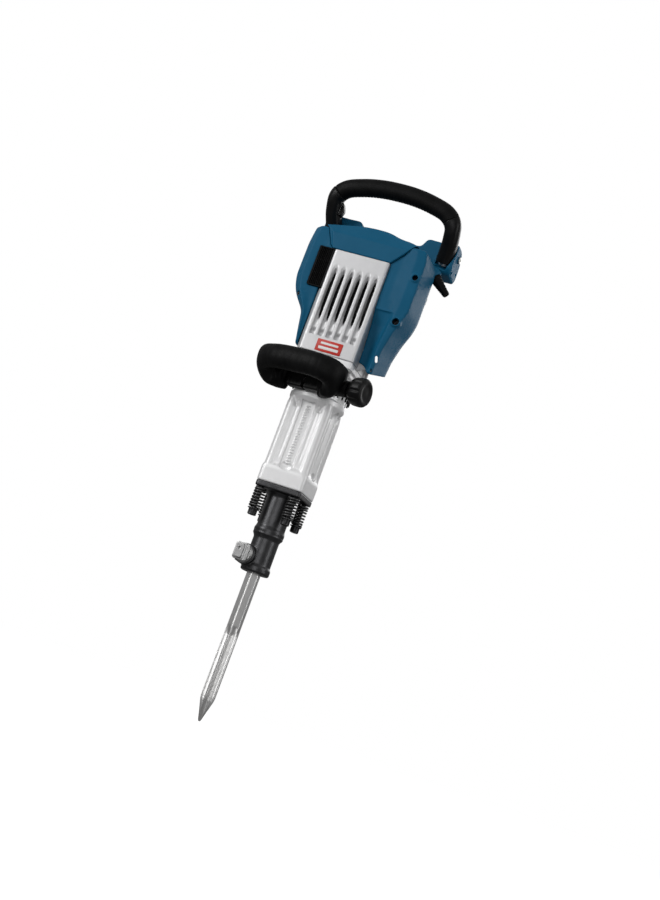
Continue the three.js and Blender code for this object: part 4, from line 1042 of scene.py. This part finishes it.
def make_yoke():
    beam = prism("y",
                 rounded([(-97, 890), (97, 890), (97, 949), (66, 949.5), (57, 932), (-57, 932), (-66, 949.5),
                               (-97, 949)], [2, 2, 2, 6, 6, 6, 6, 2]), 68, 98)
    parts = [beam]
    outline = rounded([(54, 902), (62, 890), (102, 886), (110, 896), (108, 930), (96, 950), (62, 950),
                       (56, 940)],
                      [5, 7, 6, 7, 14, 12, 8, 6], 6)
    cheek = rounded([(57, 905), (64, 893), (101, 889), (107, 898), (105, 929), (94, 946), (64, 946), (59, 938)],
                    [4, 6, 5, 6, 12, 10, 7, 5], 6)
    for side in (-1, 1):
        parts.append(prism("x", outline, *across(side, 94, BRACKET_OUT_X - 1.6)))
        parts.append(prism("x", cheek, *across(side, BRACKET_OUT_X - 2, BRACKET_OUT_X)))
        for rib_z in (905, 918):
            parts.append(prism("x", rounded_box(1.6, 2, 1, centre=(99, rib_z)), *across(side, 60, 96)))
    post_bosses = [rod("z", side * POST_X, POST_Y, 11, 890, 948.5, 48) for side in (-1, 1)]
    skin = melted(joined(*parts, *post_bosses), 1.1, 3)
    cutters = []
    for start, end in ((0.0, 0.2), (0.8, 1.0)):
        cutters.append(sweep(HANDLE_PATH, lambda t: oval(15.7, 18.2, 60, 2.4), 40, start, end))
    for side in (-1, 1):
        low, high = across(side, 93, 122.5)
        cutters.append(box((low, 40, 922), (high, 70, 960)))
        cutters.append(rod("z", side * POST_X, POST_Y, 6.6, 870, 960, 40))
        cutters.append(rod("x", *BRACKET_BOLT, 3.6, *across(side, 118, 140), 32))
        cutters.append(rod("x", 69, 897, 3.0, *across(side, 124, 140), 32))
        cutters.append(rod("x", 97, 905, 2.4, *across(side, 127, 140), 32))
        cutters.append(prism("y", rounded_box(9.5, 8, 3, centre=(side * 110.5, 905)), 50, 56.5))
    waist = prism("y", rounded_box(46, 13, 7, centre=(0, 911)), 93, 110)
    body = cut(skin, *cutters, waist)
    piece("handle_bracket", melted(body, 1.0, 3, 0.5), "main_handle", replaces=["handle_yoke"])
    for side, name in ((-1, "left"), (1, "right")):
        head = bevelled(prism("x", circle(*BRACKET_BOLT, 6.4), *across(side, 129.3, 132.4)), 0.7, 3)
        socket = prism("x", circle(*BRACKET_BOLT, 3.0, 6), *across(side, 130.6, 135))
        shank = rod("x", *BRACKET_BOLT, 3.2, *across(side, 120, 129.5), 32)
        piece(f"bolt_{name}", cut(fused(head, shank), socket), "main_handle", look="zinc", slot="bright_steel",
              replaces=[f"bracket_bolt_{name}"])


def make_damper_springs():
    for side, name in ((-1, "left"), (1, "right")):
        coil = helix(side * POST_X, POST_Y, DAMPER_LOW_Z, DAMPER_TOP_Z - 0.2, 9.2, 1.5, 6.5)
        coil = piece(f"damper_coil_{name}", coil, "machine", replaces=[f"damper_spring_{name}"], angle=80)
        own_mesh(coil)


# ---- side handle: drawn square to the tool and then turned round it with the frame's angle ----
SIDE_GRIP_POINTS = [
    (-34, -61, 606), (-52, -64, 606), (-68, -80, 608.5), (-65, -101, 618), (-46, -110.7, 621.5),
    (0, -112.6, 623),
    (46, -110.7, 621.5), (65, -101, 618), (68, -80, 608.5), (52, -64, 606), (34, -61, 606),
]


def side_grip_ring(t):
    """Tall and flat where the arms meet the clamp, and round along the bar that the hand holds."""
    centre, forward = catmull(SIDE_GRIP_POINTS, t), heading(SIDE_GRIP_POINTS, t)
    out = Vector((forward.y, -forward.x, 0)).normalized()
    reach = math.sin(math.pi * t)
    half = 11.8 + 5 * min(1, reach * 1.6)
    bar = clamped((reach - 0.55) / 0.42)
    bar = bar * bar * (3 - 2 * bar)
    tall = 25.2 + 2.8 * min(1, reach * 2) - 6.6 * bar
    lean = 0.26 * (1 - bar) * min(1, reach * 2.5)
    ring = []
    for u, v in oval(half, tall, 96, 2.7 - 0.5 * bar):
        groove = 0.0
        if 0.37 < t < 0.63 and u > 0:
            groove = 0.45 * max(0.0, math.sin((t - 0.37) / 0.26 * math.pi * 18)) * min(1, 1.6 * u / half)
        ring.append(centre + out * (u - groove + lean * v) + Vector((0, 0, v)))
    return ring


def on_clamp_axis(work, x):
    """Lays a shape drawn up +Z on the clamp bolt's axis, starting at x."""
    return along(work, (x, CLAMP_BOLT_Y, KNOB_Z), (x + 1, CLAMP_BOLT_Y, KNOB_Z))


def make_side_handle():
    grip = loft([side_grip_ring(s / 260) for s in range(261)])
    discs = [rod("x", -64, KNOB_Z, 21, *across(side, 38, 57), 64) for side in (-1, 1)]
    skin = melted(joined(grip, *discs), 1.0, 2)
    palm = box((-36, -80, 560), (36, -40, 660))
    bore = rod("x", CLAMP_BOLT_Y, KNOB_Z, 5.4, -100, 100, 32)
    seat = rod("x", CLAMP_BOLT_Y, KNOB_Z, 13, 60, 100, 48)
    nut = prism("x", circle(CLAMP_BOLT_Y, KNOB_Z, 9.2, 6), -100, -60)
    neck = lathe([(0, 50), (16, 50), (16, 66), (14.6, 68), (14.6, KNOB_X - 1.2), (0, KNOB_X - 1.2)], 64)
    neck = on_clamp_axis(neck, 0)
    clear = rod("z", 0, 0, 57, 560, 660, 96)
    body = melted(joined(cut(skin, palm, seat, nut, clear), neck), 0.9, 1)
    body = melted(cut(body, bore), 0.9, 2, 0.5)
    piece("side_grip", turned_by(body, HANDLE_TURN), "side_handle", replaces=["side_handle_grip"], angle=50)

    band = lathe([(COLLAR_R + 0.4, RIM_Z + 0.7), (BAND_R - 1.4, RIM_Z + 0.7), (BAND_R, RIM_Z + 2.2),
                  (BAND_R, RIM_Z + 8), (BAND_R - 2, RIM_Z + 9.5), (BAND_R - 2, 624), (BAND_R, 625.5),
                  (BAND_R, 631.4),
                  (BAND_R - 1.4, 632.9), (COLLAR_R + 0.4, 632.9)], 144, on_axis=False)
    rib = rounded([(51, -1.1), (54.9, -0.8), (54.9, 0.8), (51, 1.1)], 0.5)
    ribs = [turned_by(prism("z", rib, 596, 628), math.radians(12 * k)) for k in range(30)]
    lugs = bevelled(box((-35.6, -67.6, 589.5), (35.6, -46, 632.8)), 3, 4)
    lug_ribs = [box((x - 1.2, -68, 592.5), (x + 1.2, -60, 630)) for x in (-31, -24, -17, -10, 10, 17, 24, 31)]
    split = box((-2.5, -72, 580), (2.5, -40, 640))
    room = rod("z", 0, 0, COLLAR_R + 0.4, 580, 640, 96)
    rim_room = rod("z", 0, 0, 51.4, 570, RIM_Z + 0.7, 96)
    bore = rod("x", CLAMP_BOLT_Y, KNOB_Z, 5.4, -40, 40, 32)
    bore_edge = rod("x", CLAMP_BOLT_Y, KNOB_Z, 9, -8, 8, 32)
    body = cut(joined(band, lugs, *ribs, *lug_ribs), bore_edge)
    body = cut(melted(body, 0.9, 1), split, room, rim_room, bore)
    piece("clamp_band", turned_by(melted(body, 0.9, 2, 0.5), HANDLE_TURN), "side_handle",
          replaces=["side_handle_band"])


def make_clamp():
    bolt = lathe([(0, -40), (4.2, -40), (5, -38.6), (5, KNOB_X + 10), (0, KNOB_X + 10)], 48)
    piece("clamp_spindle", turned_by(on_clamp_axis(bolt, 0), HANDLE_TURN), "clamp", replaces=["clamp_bolt"])
    profile = [(5.3, 0), (11.2, 0), (12.0, 0.8), (12.6, 1.6), (14.2, 2.8), (17, 4.6), (21, 7.4), (23.2, 10),
               (24.4, 14), (24.9, 20), (25, 26), (24.4, 29.4), (22.6, 32), (20.4, 33.2), (17, 33.4),
               (13.5, 32.4),
               (11, 32.0), (0, 32.4)]
    rings = []
    for radius, x in rounded_profile(profile):
        fluted = clamped((radius - 15) / 6) * clamped((33 - x) / 5) * clamped((x - 3) / 6)
        rings.append(polar(180, x,
                           lambda a: max(radius, 0.01) - 1.9 * max(0.0, math.cos(9 * a)) ** 2.2 * fluted))
    knob = on_clamp_axis(cut(loft(rings), rod("z", 0, 0, 5.3, -5, 12, 40)), KNOB_X)
    piece("knob", turned_by(knob, HANDLE_TURN), "clamp", replaces=["clamp_knob"], angle=50)


def rounded_profile(profile, steps=4):
    """A turned profile with extra points on a smooth curve through the given ones."""
    points = [(0.01, profile[0][1] + 0.001), *profile]
    line = [(r, z, 0) for r, z in points]
    count = (len(line) - 1) * steps
    return [tuple(catmull(line, i / count))[:2] for i in range(count + 1)]


# ---- the frame's own pieces that stay as they are get a finish, and a bevel where they show ----
SEEN_EDGES = {"damper_rail": 1.6, "guide_post_left": 0.6, "guide_post_right": 0.6}
OWN_LOOK = {"damper_rail": "black_plastic"}


def dress_frame():
    for name, work in frame["nodes"].items():
        if work.hide_render:
            continue
        work.data.materials.clear()
        work.data.materials.append(LOOKS[OWN_LOOK.get(name, SLOT_OF[name])])
        width = SEEN_EDGES.get(name, 0)
        if width:
            bevel = work.modifiers.new("edge", "BEVEL")
            bevel.width = width * MM
            bevel.segments = 3
            bevel.limit_method = "ANGLE"
            bevel.angle_limit = math.radians(30)


# ---- floor, light and camera, in metres ----
FLOOR_REACH = 60
CAMERA_SWING = math.radians(19.48)
CAMERA_DISTANCE = 2.7566
CAMERA_HEIGHT = 0.0399
CAMERA_ROLL = 20.26
CAMERA_LENS = 64.16
TARGET_ASIDE = 0.0491
TARGET_HEIGHT = 0.5139


def make_studio():
    mesh = bpy.data.meshes.new("studio_floor")
    mesh.from_pydata([(sx * FLOOR_REACH, sy * FLOOR_REACH, 0) for sx, sy in CORNERS], [], [(0, 1, 2, 3)])
    floor = linked("studio_floor", mesh)
    material = bpy.data.materials.new("studio_floor")
    material.use_nodes = True
    shader = material.node_tree.nodes["Principled BSDF"]
    shader.inputs["Base Color"].default_value = (0.3, 0.3, 0.3, 1)
    shader.inputs["Roughness"].default_value = 0.9
    shader.inputs["Specular IOR Level"].default_value = 0.0
    shader.inputs["Emission Color"].default_value = (1, 1, 1, 1)
    shader.inputs["Emission Strength"].default_value = 0.88
    mesh.materials.append(material)
    floor.visible_diffuse = False
    floor.visible_glossy = False

    # The sky is white where it is seen. Where it lights the object it is dimmer, and dimmest below.
    world = bpy.data.worlds.new("studio")
    bpy.context.scene.world = world
    world.use_nodes = True
    tree = world.node_tree
    height = tree.nodes.new("ShaderNodeSeparateXYZ")
    tree.links.new(tree.nodes.new("ShaderNodeTexCoord").outputs["Generated"], height.inputs[0])
    back = tree.nodes["Background"]
    tree.links.new(ramp(tree, height.outputs["Z"], [(0.0, 0.16), (0.35, 0.36), (1.0, 0.46)]),
                   back.inputs["Color"])
    back.inputs["Strength"].default_value = 1.0
    seen = tree.nodes.new("ShaderNodeBackground")
    seen.inputs["Color"].default_value = (1, 1, 1, 1)
    seen.inputs["Strength"].default_value = 1.0
    choice = tree.nodes.new("ShaderNodeMixShader")
    tree.links.new(tree.nodes.new("ShaderNodeLightPath").outputs["Is Camera Ray"], choice.inputs["Fac"])
    tree.links.new(back.outputs[0], choice.inputs[1])
    tree.links.new(seen.outputs[0], choice.inputs[2])
    tree.links.new(choice.outputs[0], tree.nodes["World Output"].inputs["Surface"])
    for name, at, size, power, target_z in (
        ("key", (-1.9, -2.2, 1.5), (1.2, 1.6), 40, 0.65),
        ("fill", (0.5, -3.0, 0.5), (1.6, 1.2), 14, 0.6),
        ("side", (2.6, -0.3, 1.2), (0.8, 1.6), 15, 0.6),
        ("rim", (0.3, 2.3, 1.6), (1.4, 1.4), 16, 0.7),
    ):
        light = bpy.data.lights.new(name, "AREA")
        light.shape = "RECTANGLE"
        light.size, light.size_y = size
        light.energy = power
        linked(name, light).matrix_world = aimed(Vector(at), Vector((0, 0, target_z)), 0)


def aimed(place_at, target, roll):
    """A camera or lamp pose: it looks down its own -Z at the target."""
    forward = (target - place_at).normalized()
    right = forward.cross(Vector((0, 0, 1))).normalized()
    up = right.cross(forward)
    turn = math.radians(roll)
    right, up = right * math.cos(turn) + up * math.sin(turn), up * math.cos(turn) - right * math.sin(turn)
    pose = Matrix((right, up, -forward)).transposed().to_4x4()
    pose.translation = place_at
    return pose


def make_camera():
    across_view = (math.cos(CAMERA_SWING), math.sin(CAMERA_SWING))
    stand = Vector((CAMERA_DISTANCE * across_view[1], -CAMERA_DISTANCE * across_view[0], CAMERA_HEIGHT))
    target = Vector((TARGET_ASIDE * across_view[0], TARGET_ASIDE * across_view[1], TARGET_HEIGHT))
    lens = bpy.data.cameras.new("view")
    lens.sensor_width = 36
    lens.lens = CAMERA_LENS
    lens.clip_end = 200
    camera = linked("view", lens)
    camera.matrix_world = aimed(stand, target, CAMERA_ROLL)
    bpy.context.scene.camera = camera
    bpy.context.scene.view_settings.view_transform = "Standard"


make_chisel()
make_tool_holder()
make_lock_pin()
make_flange_springs()
make_barrel()
make_housing_bolts()
make_gear_housing()
make_shade_duct()
make_gear_cover()
make_label()
make_right_cover()
make_left_cover()
make_air_grille()
make_top_hood()
make_rear_cover()
make_strain_relief()
make_main_grip()
make_leg_covers()
make_switch()
make_yoke()
make_damper_springs()
make_side_handle()
make_clamp()
dress_frame()
make_studio()
make_camera()
